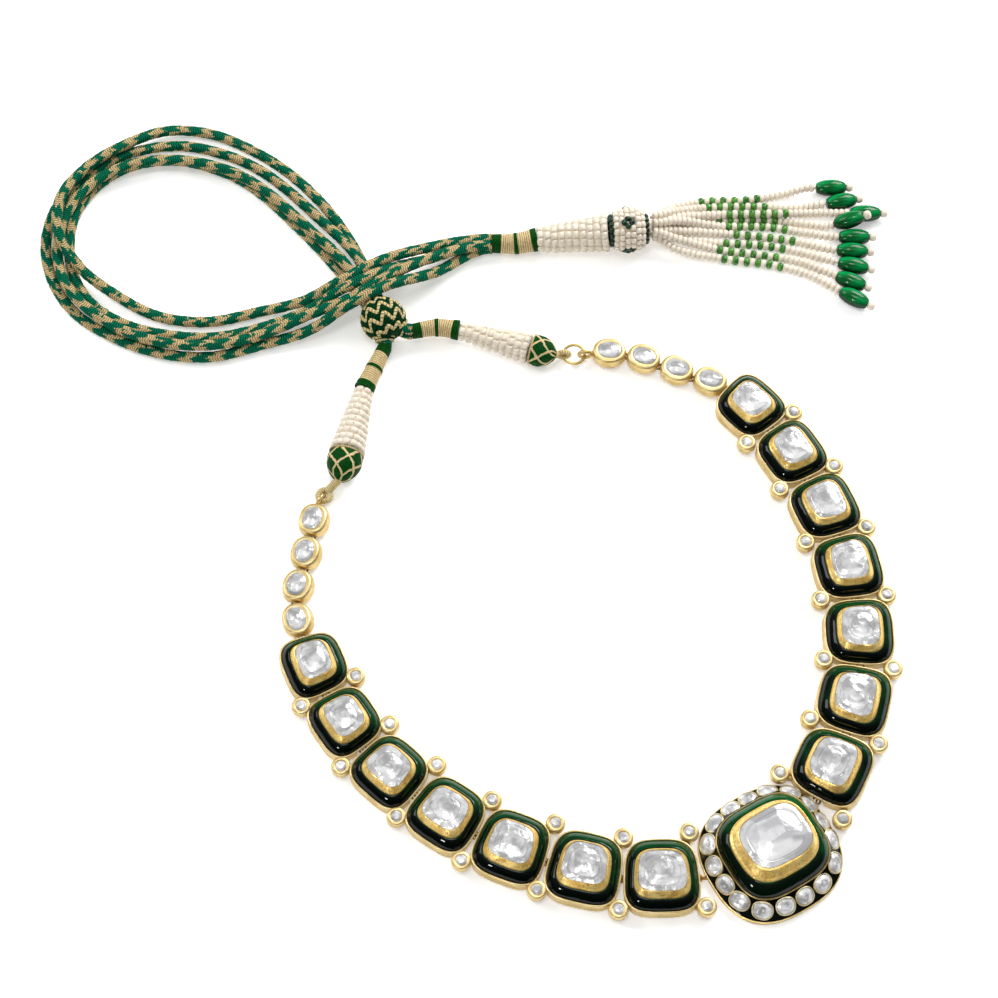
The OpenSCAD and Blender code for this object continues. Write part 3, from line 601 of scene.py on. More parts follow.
def stone_finish(name, light, dark, rings):
    """Flat-cut clear stone over silver foil: bright planes, grey veils and soft inner rings, with painted
    grey shade on slopes turned to the far side and a painted white highlight on slopes turned to the near
    side.
    """
    f = stone_nodes(name)
    bent = f.pushed(f.noise(2.5, 2), f.noise(3.1, 2), 2.0)
    veil = f.ramp(f.noise(2.2, 3, at=bent), 0.36, 0.64)
    base = f.mix(veil, grey(light), (dark, dark, dark * 1.02))
    if rings:
        base = ringed(f, base, rings, 2.6, 2.2, 0.35)
    # Painted shade: dark grey on upper slopes turned to the far side.
    base = slope_painted_light(f, base, (0.02, 0.22), (6.0, 8.0), 0.55, grey(0.30))
    # Painted highlight: near white on slopes turned to the near side.
    base = slope_painted_light(f, base, (-0.06, -0.20), (5.4, 6.4), 0.7, grey(0.95))
    fleck = f.ramp(f.noise(0.7, 3, rough=0.7), 0.66, 0.76)
    f.colour(f.mix(0.4 * fleck, base, (0.30, 0.30, 0.31)))
    f.set("Roughness", f.ramp(f.noise(1.4, 2), 0.3, 0.7, 0.14, 0.28))
    f.bump(f.noise(3.0, 1, at=bent) + 0.2 * f.noise(1.1, 2), 0.7, 0.6)
    return f.material


def big_stone_finish():
    """The large flat-cut stone: broad grey and white planes meeting at soft edges, with painted grey shade on
    slopes of its dome turned to the far side and a painted white highlight on slopes turned to the near side.
    """
    f = stone_nodes("large_foiled_stone")
    bent = f.pushed(f.noise(4, 1), f.noise(5, 1), 4.0)
    planes = f.node("TexVoronoi", "Color", {"Vector": bent, "Scale": 1 / 5.2})
    tone = f.node("SeparateColor", 0, {0: planes})
    base = f.mix(f.ramp(tone, 0.2, 0.9), (0.70, 0.70, 0.71), (0.40, 0.40, 0.41))
    base = ringed(f, base, BIG_STONE_RINGS, 4.2, 3.0, 0.3)
    # Painted shade: dark grey on upper slopes turned to the far side.
    base = slope_painted_light(f, base, (0.02, 0.16), (6.5, 8.5), 0.6, (0.30, 0.30, 0.31))
    # Painted highlight: near white on slopes turned to the near side.
    base = slope_painted_light(f, base, (-0.04, -0.14), (5.6, 6.6), 0.7, grey(0.92))
    veil = f.ramp(f.noise(1.8, 4, rough=0.6), 0.50, 0.70)
    f.colour(f.mix(0.4 * veil, base, (0.42, 0.42, 0.44)))
    f.set("Roughness", f.ramp(f.noise(1.9, 2), 0.3, 0.7, 0.12, 0.28))
    f.bump(planes.beside("Distance") + 0.5 * f.noise(2.4, 2), 0.5, 0.5)
    return f.material


def winding_finish(name, light, mid, dark, turns_per_mm, shine):
    """Thread wound in close turns: a shadow line between turns, flecks along each."""
    f = Finish(name, Specular_IOR_Level=shine)
    wave = f.math("SINE", (f.along + 0.4 * f.around) * (turns_per_mm * math.pi))
    ridge = f.math("POWER", abs(wave), 0.7)
    fleck = f.noise(0.3, 3)
    base = f.mix(f.ramp(fleck, 0.35, 0.65), mid, light)
    f.colour(f.mix(f.ramp(ridge, 0.15, 0.7), dark, base))
    f.set("Roughness", f.ramp(fleck, 0.3, 0.7, 0.42, 0.68))
    f.bump(ridge + 0.35 * fleck, 0.16, 0.9)
    return f.material


CORD_STRANDS = 8
CORD_PERIOD = 6.1


def cord_finish(name, seed):
    """Braided silk cord: deep green with stepped blocks of gold thread, leaning strands, and painted shade in
    the dips of the plait.
    """
    f = Finish(name, Specular_IOR_Level=0.05)
    strand = float(CORD_STRANDS) * f.around
    lap = f.math("PINGPONG", strand, 1.0)
    cell = f.joined(3.7 * f.math("FLOOR", strand), seed, f.math("FLOOR", f.along / 3.0))
    stepped = (f.along + CORD_PERIOD * f.around) + (5.0 * f.noise(1.0, 0, at=cell) + 1.3 * lap)
    block = f.math("FRACT", (stepped + 3.0 * f.noise(0.5, 3)) / CORD_PERIOD)
    is_gold = f.ramp(block, 0.54, 0.57) * f.ramp(block, 0.99, 0.96)
    plait = f.ramp(f.math("SINE", (f.along + 0.35 * lap) * (2 * math.pi / 0.55)), -0.9, 0.5)
    fibre = f.noise(0.22, 3)
    green = f.mix(f.ramp(fibre, 0.3, 0.7), (0.0, 0.105, 0.050), (0.0, 0.210, 0.110))
    # Painted shade: darker green where the plait dips.
    green = f.mix(f.ramp(plait, 0.0, 0.5), (0.0, 0.035, 0.016), green)
    gold = f.mix(f.ramp(fibre, 0.35, 0.65), (0.44, 0.31, 0.13), (0.82, 0.66, 0.38))
    # Painted shade: darker gold where the plait dips.
    gold = f.mix(f.ramp(plait, 0.0, 0.7), (0.26, 0.17, 0.06), gold)
    f.colour(f.mix(is_gold, green, gold))
    f.set("Roughness", f.ramp(fibre, 0.2, 0.8, 0.48, 0.75))
    f.bump(0.8 * plait + 0.5 * fibre, 0.20, 0.9)
    return f.material


def lattice_finish():
    """Green silk cap under a diamond lattice of gold thread."""
    f = Finish("cap_lattice", Specular_IOR_Level=0.06)
    waver = 0.22 * (f.noise(1.2, 2) - 0.5)
    lines = []
    for sign in (1.0, -1.0):
        diagonal = (1 / 4.4) * f.along + sign * (5.0 * f.around) + waver
        off = abs(f.math("FRACT", diagonal + 8.0) - 0.5)
        lines.append(f.ramp(off, 0.100, 0.065))
    both = f.math("MAXIMUM", *lines)
    fibre = f.noise(0.25, 3)
    green = f.mix(f.ramp(fibre, 0.3, 0.7), (0.0, 0.022, 0.002), (0.002, 0.085, 0.008))
    gold = f.mix(f.ramp(fibre, 0.3, 0.7), (0.52, 0.39, 0.18), (0.80, 0.66, 0.38))
    f.colour(f.mix(both, green, gold))
    f.set("Roughness", f.ramp(fibre, 0.2, 0.8, 0.4, 0.65))
    f.bump(both + 0.25 * fibre, 0.35, 0.9)
    return f.material


def bead_finish(name, light, dark, rough=0.13):
    """Glass seed bead: cloudy colour under an uneven gloss."""
    f = Finish(name, IOR=1.5, Specular_IOR_Level=0.4)
    f.colour(f.mix(f.ramp(f.noise(1.1, 3), 0.35, 0.65), dark, light))
    f.set("Roughness", f.ramp(f.noise(0.5, 2), 0.3, 0.7, rough - 0.05, rough + 0.12))
    f.bump(f.noise(0.9, 2), 0.06, 0.5)
    return f.material


def drop_finish():
    """Clear green glass with streaks drawn along it, glossy all over, with painted shade on the faces that
    turn downwards.
    """
    f = Finish("green_glass", IOR=1.5, Specular_IOR_Level=0.17, Transmission_Weight=0.3)
    streak = f.noise(1.0, 2, at=f.joined(7.0 * f.around, 0.1 * f.along))
    base = f.mix(f.ramp(streak, 0.38, 0.62), (0.0, 0.140, 0.022), (0.0, 0.460, 0.115))
    # Painted shade: near-black green on faces that turn downwards.
    f.colour(f.mix(f.ramp(f.facing[2], 0.25, 0.95), (0.0, 0.035, 0.006), base))
    f.set("Roughness", f.ramp(f.noise(2.5, 1), 0.3, 0.7, 0.10, 0.20))
    f.bump(f.noise(2.4, 1), 0.05, 0.4)
    return f.material


def silk_finish(name, light, dark):
    f = Finish(name, Specular_IOR_Level=0.15)
    fibre = f.noise(0.3, 4)
    f.colour(f.mix(f.ramp(fibre, 0.3, 0.7), dark, light))
    f.set("Roughness", f.ramp(fibre, 0.3, 0.7, 0.5, 0.75))
    f.bump(fibre, 0.12, 0.8)
    return f.material


# Gold: light, warm and dark colour, roughness, depth of its dents in millimetres
GOLD = gold_finish("worked_gold", (0.72, 0.55, 0.25), (0.56, 0.40, 0.14), (0.20, 0.12, 0.03), 0.32, 0.025)
# Painted shade: the eyes and rods between the pieces are a much darker gold, standing in for the shade in the
# gaps.
SHADED_WIRE = gold_finish("link_wire_painted_shade", (0.50, 0.31, 0.10), (0.36, 0.20, 0.05), (0.10, 0.045, 0.012), 0.32, 0.08)
# Painted highlight: the top rims and upper edges are a paler gold, standing in for light caught on them.
LIT_RIM = gold_finish("rim_painted_highlight", (0.82, 0.66, 0.34), (0.70, 0.52, 0.22), (0.48, 0.33, 0.12), 0.38, 0.003)
COLLAR = gold_finish(
    "pale_collar", (0.84, 0.74, 0.48), (0.70, 0.57, 0.31), (0.25, 0.19, 0.08), 0.30, 0.01, metal=0.5)
FOIL = foil_finish()

# Enamels: tone of the painted shade on the near side, then tone of the painted light on the far side.
ENAMEL = enamel_finish("green_enamel", (0.0, 0.0018, 0.0008), (0.0, 0.048, 0.010))
RING_ENAMEL = enamel_finish("ring_enamel_green", (0.0, 0.005, 0.0014), (0.0, 0.082, 0.017))
BORDER = enamel_finish("dark_enamel", (0.0, 0.0010, 0.0006), (0.0, 0.008, 0.003))

# Stones: tone of the bright planes and of the veils, inner rings
STONE_RINGS = ((1.0, 1.0, 0.6, 0.26), (5.0, 0.9, 0.75, 0.22), (8.6, 0.6, 0.6, 0.28))
PETAL_RINGS = ((1.0, 0.9, 0.5, 0.30), (5.0, 0.7, 0.8, 0.26))
BIG_STONE_RINGS = (
    (1.2, 1.04, 0.55, 0.26), (3.4, 0.78, 0.35, 0.34), (5.2, 0.78, 0.50, 0.26), (7.6, 0.78, 0.20, 0.42))
STONE = stone_finish("foiled_stone", 0.62, 0.36, STONE_RINGS)
PETAL_STONE = stone_finish("petal_stone", 0.88, 0.40, PETAL_RINGS)
CUP_STONE = stone_finish("small_stone", 0.92, 0.42, ())
BIG_STONE = big_stone_finish()

# Wound thread: light, middle and dark colour, turns per millimetre, shine
GOLD_FLOSS = winding_finish(
    "gold_floss", (0.78, 0.62, 0.33), (0.55, 0.39, 0.17), (0.13, 0.075, 0.02), 2.0, 0.3)
GREEN_FLOSS = winding_finish(
    "green_floss", (0.004, 0.090, 0.008), (0.001, 0.045, 0.004), (0.0, 0.010, 0.001), 2.4, 0.05)
KNOT_GOLD = winding_finish(
    "knot_gold", (0.74, 0.62, 0.32), (0.54, 0.43, 0.18), (0.15, 0.10, 0.03), 2.2, 0.3)
KNOT_GREEN = winding_finish(
    "knot_green", (0.0, 0.050, 0.013), (0.0, 0.023, 0.006), (0.0, 0.005, 0.001), 2.4, 0.03)
EYE_THREAD = winding_finish(
    "eye_thread", (0.84, 0.70, 0.36), (0.68, 0.53, 0.23), (0.34, 0.24, 0.08), 2.4, 0.35)
LATTICE = lattice_finish()
CREAM = silk_finish("cream_thread", (0.86, 0.77, 0.60), (0.72, 0.62, 0.43))
DARK_CORE = silk_finish("dark_core", (0.003, 0.04, 0.015), (0.001, 0.012, 0.005))

WHITE_BEAD = bead_finish("white_bead", (0.83, 0.755, 0.64), (0.75, 0.67, 0.55), 0.30)
DARK_BEAD = bead_finish("dark_green_bead", (0.003, 0.045, 0.018), (0.001, 0.014, 0.006))
LIME_BEAD = bead_finish("light_green_bead", (0.090, 0.31, 0.035), (0.020, 0.13, 0.012))
DROP_GLASS = drop_finish()


# Cords

def braid_radius(distance, angles):
    """Soft, slightly flattened section whose strands stand out and swell along the cord."""
    flat = CORD_D / 2 * (1.07 + 0.07 * np.cos(2 * angles))
    strands = 0.05 * np.cos(CORD_STRANDS / 2 * (angles + distance * 0.9))
    return flat + strands + 0.03 * math.sin(distance * 1.7)


def cord(node, seed):
    route = CORD_ROUTES[node]
    wrap = RIGHT_WRAP if node in ("cord_a", "cord_b") else LEFT_WRAP
    leaving = (Vector(wrap[-1]) - Vector(wrap[-2])).normalized()
    tail = Vector(TAIL_WRAP[0])
    gathered = tail + 0.68 * (Vector(route[-1]) - tail)
    path = smooth_route([*route[:-1], gathered], 0.7, leaving, (1, 0, 0))
    rows, places = tube_rows(path, braid_radius, 24)
    shape = Shape()
    shape.loft(rows, u=places)
    obj = shape.finish(node + "_braid", [cord_finish(node + "_silk", seed)], [node])
    points = [tuple(p * MM) for p in path]


for number, cord_node in enumerate(CORD_ROUTES):
    cord(cord_node, 2.5 + 7.3 * number)


# Collar

def link_outline(half, side, n=LINK_N):
    return squircle(half, n, LINK_SIDES, side * LINK_TAPER)


def link_halves(i):
    """Half sizes of a link: its length, then its rim, enamel, bezel and stone, each as wide as they look."""
    length, width = link_size(i)
    half = np.array([length / 2, width / 2])
    rim = half + [0.48, 0.84]
    trough = rim - 0.40
    bezel = trough - [0.104 * width + 0.45, 0.112 * width + 0.55]
    if i == 0:
        bezel = bezel + [0.25, 0]
    seat = bezel - [0.85, 1.0]
    return half, rim, trough, bezel, seat


EYE_HOLLOW_TOP = 2.4


def dented(outline, z, reach, room):
    """Outline with the hollow in each end wall where the neighbour's eye goes."""
    if z > EYE_HOLLOW_TOP:
        return outline
    out = outline.copy()
    near = np.abs(out[:, 1]) < room
    out[near, 0] = np.clip(out[near, 0], -reach, reach)
    return out


CUP_SHOWN_R = 1.12
CUP_PROFILE = (
    (0, 0), (CUP_R - 0.65, 0), (CUP_R - 0.55, 0.08), (CUP_R - 0.35, 0.7), (CUP_R - 0.12, 1.2), (CUP_R, 1.6),
    (CUP_R + 0.1, 2.2), (CUP_R + 0.1, 2.6), (CUP_R + 0.04, 3.15), (CUP_R - 0.08, 3.5),
    (CUP_R - 0.26, CUP_H + 0.04), (CUP_R - 0.5, CUP_H + 0.08), (CUP_SHOWN_R + 0.12, CUP_H + 0.02),
    (CUP_SHOWN_R, CUP_H - 0.1), (CUP_SHOWN_R, 3.0), (0, 3.0))
CUP_BAR_Z = 1.3
CUP_STONE_ROWS = ((1.0, 2.95), (1.0, 3.55), (0.93, 3.68), (0.62, 4.0), (0.3, 4.05))


def eyes(shape, frame_, mark, flat_x=None, upright_x=None):
    """The flat and the upright eye that hold a piece's neighbours, each at its place along x."""
    for x, lift in ((flat_x, 0), (upright_x, 90)):
        if x is not None:
            at = Matrix.Translation((x, 0, EYE_Z)) @ rotation(lift, "X")
            shape.torus(EYE_R, EYE_WIRE_R, frame_ @ at, mark)


def cup_places(arm, i):
    """Centre of each round cup of a link, and the place in the case where its bar begins."""
    half = link_halves(i)[0]
    turn = abs(arm["headings"][i] - arm["headings"][max(i - 1, 0)])
    offsets = arm["first_cups"] if i == 0 else ((0.1 - 0.06 * turn, 1.3), (0.5 + 0.06 * turn, 0.1))
    for (x, y), sign in zip(offsets, (arm["side"], -arm["side"])):
        centre = Vector((half[0] + x, sign * (half[1] + y), 0))
        yield centre, Vector((half[0] - 2.2, sign * (half[1] - 1.4), CUP_BAR_Z))


# Enamel of a link: share of the way in from the trough's outer wall, height
LINK_ENAMEL = ((0, 2.86), (0, 3.1), (0.05, 3.3), (0.16, 3.62), (0.3, 4.0), (0.48, 4.38), (0.66, 4.66),
               (0.84, 4.88), (0.97, 4.98), (1, 4.94), (1, 2.86))
COLLAR_TOP = 4.9


def square_link(side_name, arm, i, enamel, cup_stones):
    place = arm_frame(arm, i)
    side = arm["side"]
    seed = 100 * (side + 2) + i
    half, rim, trough, bezel, seat = link_halves(i)
    base = half + [0.34, LINK_FLARE]
    lean = np.array((place.to_3x3().inverted() @ Vector((0, 0.36, 0))).xy)

    case = Shape()
    walls = (
        (base - 0.3, 0), (base - 0.06, 0.15), (base, 0.5), (base - [0.01, 0.02], 0.8),
        (base - [0.04, 0.14], 0.95), (base - [0.06, 0.22], 1.08), (base - [0.02, 0.14], 1.2),
        (base - [0, 0.03], 1.5), (base - [0, 0.08], 2.0), (base - [0, 0.13], 2.39), (base - [0, 0.135], 2.42),
        (rim + [0.02, 0.03], 2.95), (rim, LINK_RIM_Z - 0.06), (rim - 0.05, LINK_RIM_Z + 0.06),
        (rim - 0.18, LINK_RIM_Z + 0.12), (trough + 0.06, LINK_RIM_Z + 0.06), (trough, LINK_RIM_Z - 0.1),
        (trough, TROUGH_Z + 0.05))
    rows = [at_height(dented(link_outline(h, side), z, half[0] - 0.3, 1.6), z) for h, z in walls]
    marks = [0] * 11 + [3] * (len(rows) - 11)
    collar = (
        (bezel, TROUGH_Z + 0.05), (bezel, 4.6), (bezel - 0.05, COLLAR_TOP), (bezel - 0.2, 5.08),
        (lerp(bezel, seat, 0.35), 5.16), (lerp(bezel, seat, 0.45), 5.34), (lerp(bezel, seat, 0.7), 5.68),
        (lerp(bezel, seat, 0.9), 5.86))
    top = wobble(LINK_SIDES, seed + 50, 0.02)
    for h, z in collar:
        over = lean * max(0, z - COLLAR_TOP) / 0.96
        rows.append(at_height(link_outline(h, side, SEAT_N) + over, z * top if z > 5 else z))
    lip = wobble(LINK_SIDES, seed, 0.045)[:, None]
    for h, z in ((seat + 0.03, 5.80), (seat, 5.6), (seat, 4.15)):
        rows.append(at_height(link_outline(h, side, SEAT_N) * lip + lean, z))
    marks += [1] * (len(rows) - 1 - len(marks))
    case.loft(rows, marks, place)
    for centre, root in cup_places(arm, i):
        at = place @ Matrix.Translation(centre)
        case.turn(CUP_PROFILE, 32, [0] * 8 + [3] * 7, at)
        case.rod(root, Vector((centre.x, centre.y, CUP_BAR_Z)), 0.8, 0, place)
        stone_seed = seed + 7 + len(cup_stones.points)
        gem(cup_stones, at, np.full(2, CUP_SHOWN_R), 2.1, 24, stone_seed, CUP_STONE_ROWS, 0.05)
    reach = half[0] + LINK_GAP / 2 - EYE_REACH
    eyes(case, place, 2, reach, -half[0] - LINK_GAP / 2 + EYE_REACH)
    name = f"{side_name}_link_{i + 1}"
    case.finish(name + "_case", [GOLD, FOIL, SHADED_WIRE, LIT_RIM], [name], sharp=50)

    outer, inner = trough - 0.04, bezel + 0.04
    rows = [at_height(link_outline(lerp(outer, inner, t), side, LINK_N + 0.1 * t), z) for t, z in LINK_ENAMEL]
    enamel.loft(rows, 0, place, closed=True)

    stone = Shape()
    rng = random.Random(seed)
    profile = domed_profile(*LINK_STONE, rng.uniform(0.66, 0.80), rng.uniform(0.32, 0.5))
    gem(stone, place @ Matrix.Translation((*lean, 0)), seat - 0.03, SEAT_N, LINK_SIDES, seed, profile, 0.045,
        side * LINK_TAPER, round_to=rng.choice((2.0, 2.3, 2.8)), shift=rng.uniform(0.05, 0.16))
    stone.finish(f"{side_name}_stone_{i + 1}_cut", [STONE], [f"{side_name}_stone_{i + 1}"], sharp=20)


def domed_profile(low, girdle, top, inner, table):
    """Rows of a flat-cut stone: a sloping band, a groove, a dome, a second faint ring and the crown."""
    rise = top - girdle
    rows = [(1.0, low), (1.0, girdle)]
    for scale, share in ((0.985, 0.12), (lerp(1, inner, 0.5), 0.26), (inner + 0.03, 0.36), (inner, 0.32),
                         (inner - 0.03, 0.36)):
        rows.append((scale, girdle + share * rise))
    for k in range(1, 8):
        t = k / 8
        scale = (inner - 0.03) * (1 - t)
        height = girdle + rise * (0.36 + 0.64 * (1 - (1 - t) ** 2))
        if scale > 0.08:
            dip = 0.05 * rise if abs(scale - table) < 0.05 else 0
            rows.append((scale, height - dip))
    rows.append((0.05, top))
    return tuple(rows)


def gem(shape, place, half, n, sides, seed, profile, uneven, taper=0.0, round_to=None, shift=0.03):
    """Stepped stone: its girdle follows the seat's uneven lip, and each step up is rounder and less true."""
    rng = random.Random(seed)
    girdle = wobble(sides, seed, uneven)
    rows = []
    top = profile[-1][0]
    drift = np.array([rng.uniform(-1, 1), rng.uniform(-1, 1)]) * shift
    for k, (scale, z) in enumerate(profile):
        t = (1 - scale) / (1 - top)
        power = n if round_to is None else lerp(n, round_to, min(1, 1.4 * t))
        own = wobble(sides, seed + 1 + k // 2, 0.05)
        factor = girdle * (1 - t) + own * t
        outline = squircle(half * scale, power, sides, taper) * factor[:, None] + drift * half * t
        tilt = rng.uniform(-0.02, 0.02) if 0 < t < 1 else 0
        rows.append(at_height(outline, z + tilt * outline[:, 0] / half[0]))
    shape.loft(rows, 0, place)


# Wall of an oval: how far it stands in lengthwise and across, height, squareness
OVAL_WALLS = (
    (0.9, 0.95, 0.3, 2.0), (0.55, 0.62, 0.42, 2.0), (0.32, 0.38, 0.7, 2.05), (0.15, 0.2, 1.1, 2.1),
    (0.05, 0.07, 1.6, 2.15), (0.0, 0.0, 2.1, 2.2), (0.01, 0.01, 2.5, 2.2), (0.04, 0.03, 2.85, 2.2),
    (0.09, 0.08, 3.15, 2.2), (0.17, 0.14, 3.4, 2.2), (0.27, 0.23, 3.6, 2.2), (0.39, 0.34, 3.75, 2.2),
    (0.53, 0.47, 3.84, 2.2), (0.7, 0.62, OVAL_RIM_Z, 2.2), (0.9, 0.8, 3.93, 2.2))


def oval_link(side_name, arm, i, oval_stones):
    place = arm_frame(arm, i)
    rolled = place @ rotation(arm["roll"], "X")
    left = side_name == "left"
    last = i == LINKS_PER_ARM + OVALS_PER_ARM - 1
    half = np.array(OVAL) / 2 + [0.12, 0.22]
    seat = np.array([2.68, 2.08])
    lean = np.array([0, 0.5 if left else -0.1])
    case = Shape()
    rows = []
    for long_inset, wide_inset, z, n in OVAL_WALLS:
        outline = squircle(half - [long_inset, wide_inset], n, OVAL_SIDES)
        outline = dented(outline, z, half[0] - 0.87, 1.25)
        low = outline[:, 1] * lean[1] > 0
        outline[low] += lean * (0.9 - z / OVAL_RIM_Z) * (outline[low, 1:] / half[1]) * np.sign(lean[1])
        rows.append(at_height(outline, z))
    lip = wobble(OVAL_SIDES, 900 + i, 0.03)[:, None]
    for z in (3.86, 3.1):
        rows.append(at_height(squircle(seat, OVAL_N, OVAL_SIDES) * lip - lean * 0.3, z))
    case.loft(rows, [0] * 10 + [2] * 6, rolled)
    reach = OVAL[0] / 2 + OVAL_GAP / 2 - EYE_REACH
    eyes(case, place, 1, reach, None if last else -reach)
    if last:
        lug = LEFT_LUG if left else RIGHT_LUG
        turn = LEFT_THREAD_HEADING if left else 0
        tip = place @ Vector((-OVAL[0] / 2 + 1, 0, 0))
        tip.z = LUG_Z
        case.bar(tip, lug - (lug - tip).normalized() * LUG_RING_R, 0.66, 0.85)
        stood = rotation(turn) @ rotation(90, "X")
        case.torus(LUG_RING_R, 1.2 * LUG_WIRE_R, Matrix.Translation(lug) @ stood)
    name = f"{side_name}_oval_{i - LINKS_PER_ARM + 1}"
    case.finish(name + "_case", [GOLD, SHADED_WIRE, LIT_RIM], [name], sharp=40)
    at = rolled @ Matrix.Translation((0, -0.3 * lean[1], 0))
    gem(oval_stones, at, seat - 0.03, OVAL_N, OVAL_SIDES, 900 + i, domed_profile(*OVAL_STONE, 0.78, 0.4),
        0.03, shift=0.08)
link_enamel = Shape()
cup_stones = Shape()
oval_stones = Shape()
for arm_name, arm_data in ARMS.items():
    for place_no in range(LINKS_PER_ARM):
        square_link(arm_name, arm_data, place_no, link_enamel, cup_stones)
    for place_no in range(LINKS_PER_ARM, LINKS_PER_ARM + OVALS_PER_ARM):
        oval_link(arm_name, arm_data, place_no, oval_stones)
link_enamel.finish("link_enamel_rings", [ENAMEL], ["link_enamel"], sharp=60)
cup_stones.finish("cup_stones_cut", [CUP_STONE], ["collet_stones"], sharp=16)
oval_stones.finish("oval_stones_cut", [STONE], ["oval_stones"], sharp=20)


# Pendant

# Where the ring, the bezel and the stone sit, and half sizes as they show in the photo
PENDANT_SHIFT = np.array([-0.1, 0.3])
RING_WAY = math.radians(120)
RING_SHIFT = PENDANT_SHIFT + 0.6 * np.array([math.cos(RING_WAY), math.sin(RING_WAY)]) + [0.6, 0.35]
BEZEL_SHIFT = RING_SHIFT + [0.05, 0.35]
STONE_SHIFT = RING_SHIFT + [0.35, 1.0]
RING_SHOWN = np.array(RING_HALF) + [0.35, 0.35]
BEZEL_SHOWN = np.array(PENDANT_BEZEL_HALF) + [0.25, -0.15]
PENDANT_STONE_N = 3.2
PENDANT_STONE_UNEVEN = 0.045

# Rows of the pendant's case: how far out of the edge, height
OUTER_ROWS = ((-0.4, 0), (-0.1, 0.12), (0, 0.4), (0, 0.62), (-0.12, 0.72), (-0.12, 0.8), (0, 0.92), (0, 1.3),
              (-0.06, 1.4), (-0.2, 1.42), (-0.28, 1.3), (-0.3, 1.0))
RING_ROWS = ((0, 3.4), (0.02, 3.9), (-0.03, 4.0), (-0.15, 4.06), (-0.27, 4.0), (-0.3, 3.9), (-0.3, 3.46))
# Rows of its bezel: share of the way in to the seat, height, squareness
BEZEL_ROWS = ((0, 3.46, 2.9), (0, 5.9, 2.9), (0.03, 6.2, 2.9), (0.12, 6.42, 2.9), (0.26, 6.46, 2.95),
              (0.36, 6.62, 3.0), (0.5, 6.95, 3.0), (0.62, 7.1, 3.1), (0.8, 7.5, 3.1), (0.92, 7.62, 3.1))
# Collar round each petal stone: how far out of the stone, height; and rows of the stone: scale, height
SLEEVE_ROWS = (
    (0.34, -1.0), (0.34, -0.1), (0.31, 0.08), (0.24, 0.17), (0.12, 0.19), (0.04, 0.10), (0.03, -0.4))
PETAL_ROWS = ((1.0, -0.33), (1.0, 0.06), (0.94, 0.15), (0.64, 0.38), (0.6, 0.43), (0.28, 0.46), (0.05, 0.36))
# Enamel of the pendant's ring: share of the way in, height
RING_ENAMEL_ROWS = ((0, 3.46), (0, 3.95), (0.04, 4.2), (0.12, 4.55), (0.25, 4.95), (0.4, 5.3), (0.55, 5.6),
                    (0.72, 5.88), (0.88, 6.1), (0.97, 6.17), (1, 6.1), (1, 3.46))


def pendant_outline(half, n, shift):
    return turned(squircle(half, n, PENDANT_SIDES), PENDANT_TURN, shift)


def outer_edge(grow):
    return pendant_outline(np.array(PENDANT_HALF) + grow, OUTER_N, PENDANT_SHIFT)


def ring_edge(grow):
    return pendant_outline(RING_SHOWN + grow, RING_N, RING_SHIFT)


def petal_frame(degrees):
    """Frame on the slope between ring and edge, and half sizes of the petal stone there."""
    across = math.radians(degrees - PENDANT_TURN)
    outer_r = edge_radius(PENDANT_HALF, OUTER_N, across)
    ring_r = edge_radius(RING_HALF, RING_N, across)
    slope = math.atan((RING_RIM_Z - PENDANT_EDGE_Z) / (outer_r - ring_r))
    r = (outer_r + ring_r) / 2
    shift = (RING_SHIFT + PENDANT_SHIFT) / 2
    a = math.radians(degrees)
    middle = Vector((shift[0] + r * math.cos(a), shift[1] + r * math.sin(a), 2.65))
    turn = rotation(degrees) @ Matrix.Rotation(slope, 4, "Y") @ rotation(90)
    return Matrix.Translation(middle) @ turn, np.array([PETAL_SHARE * r, PETAL_DEPTH]) / 2


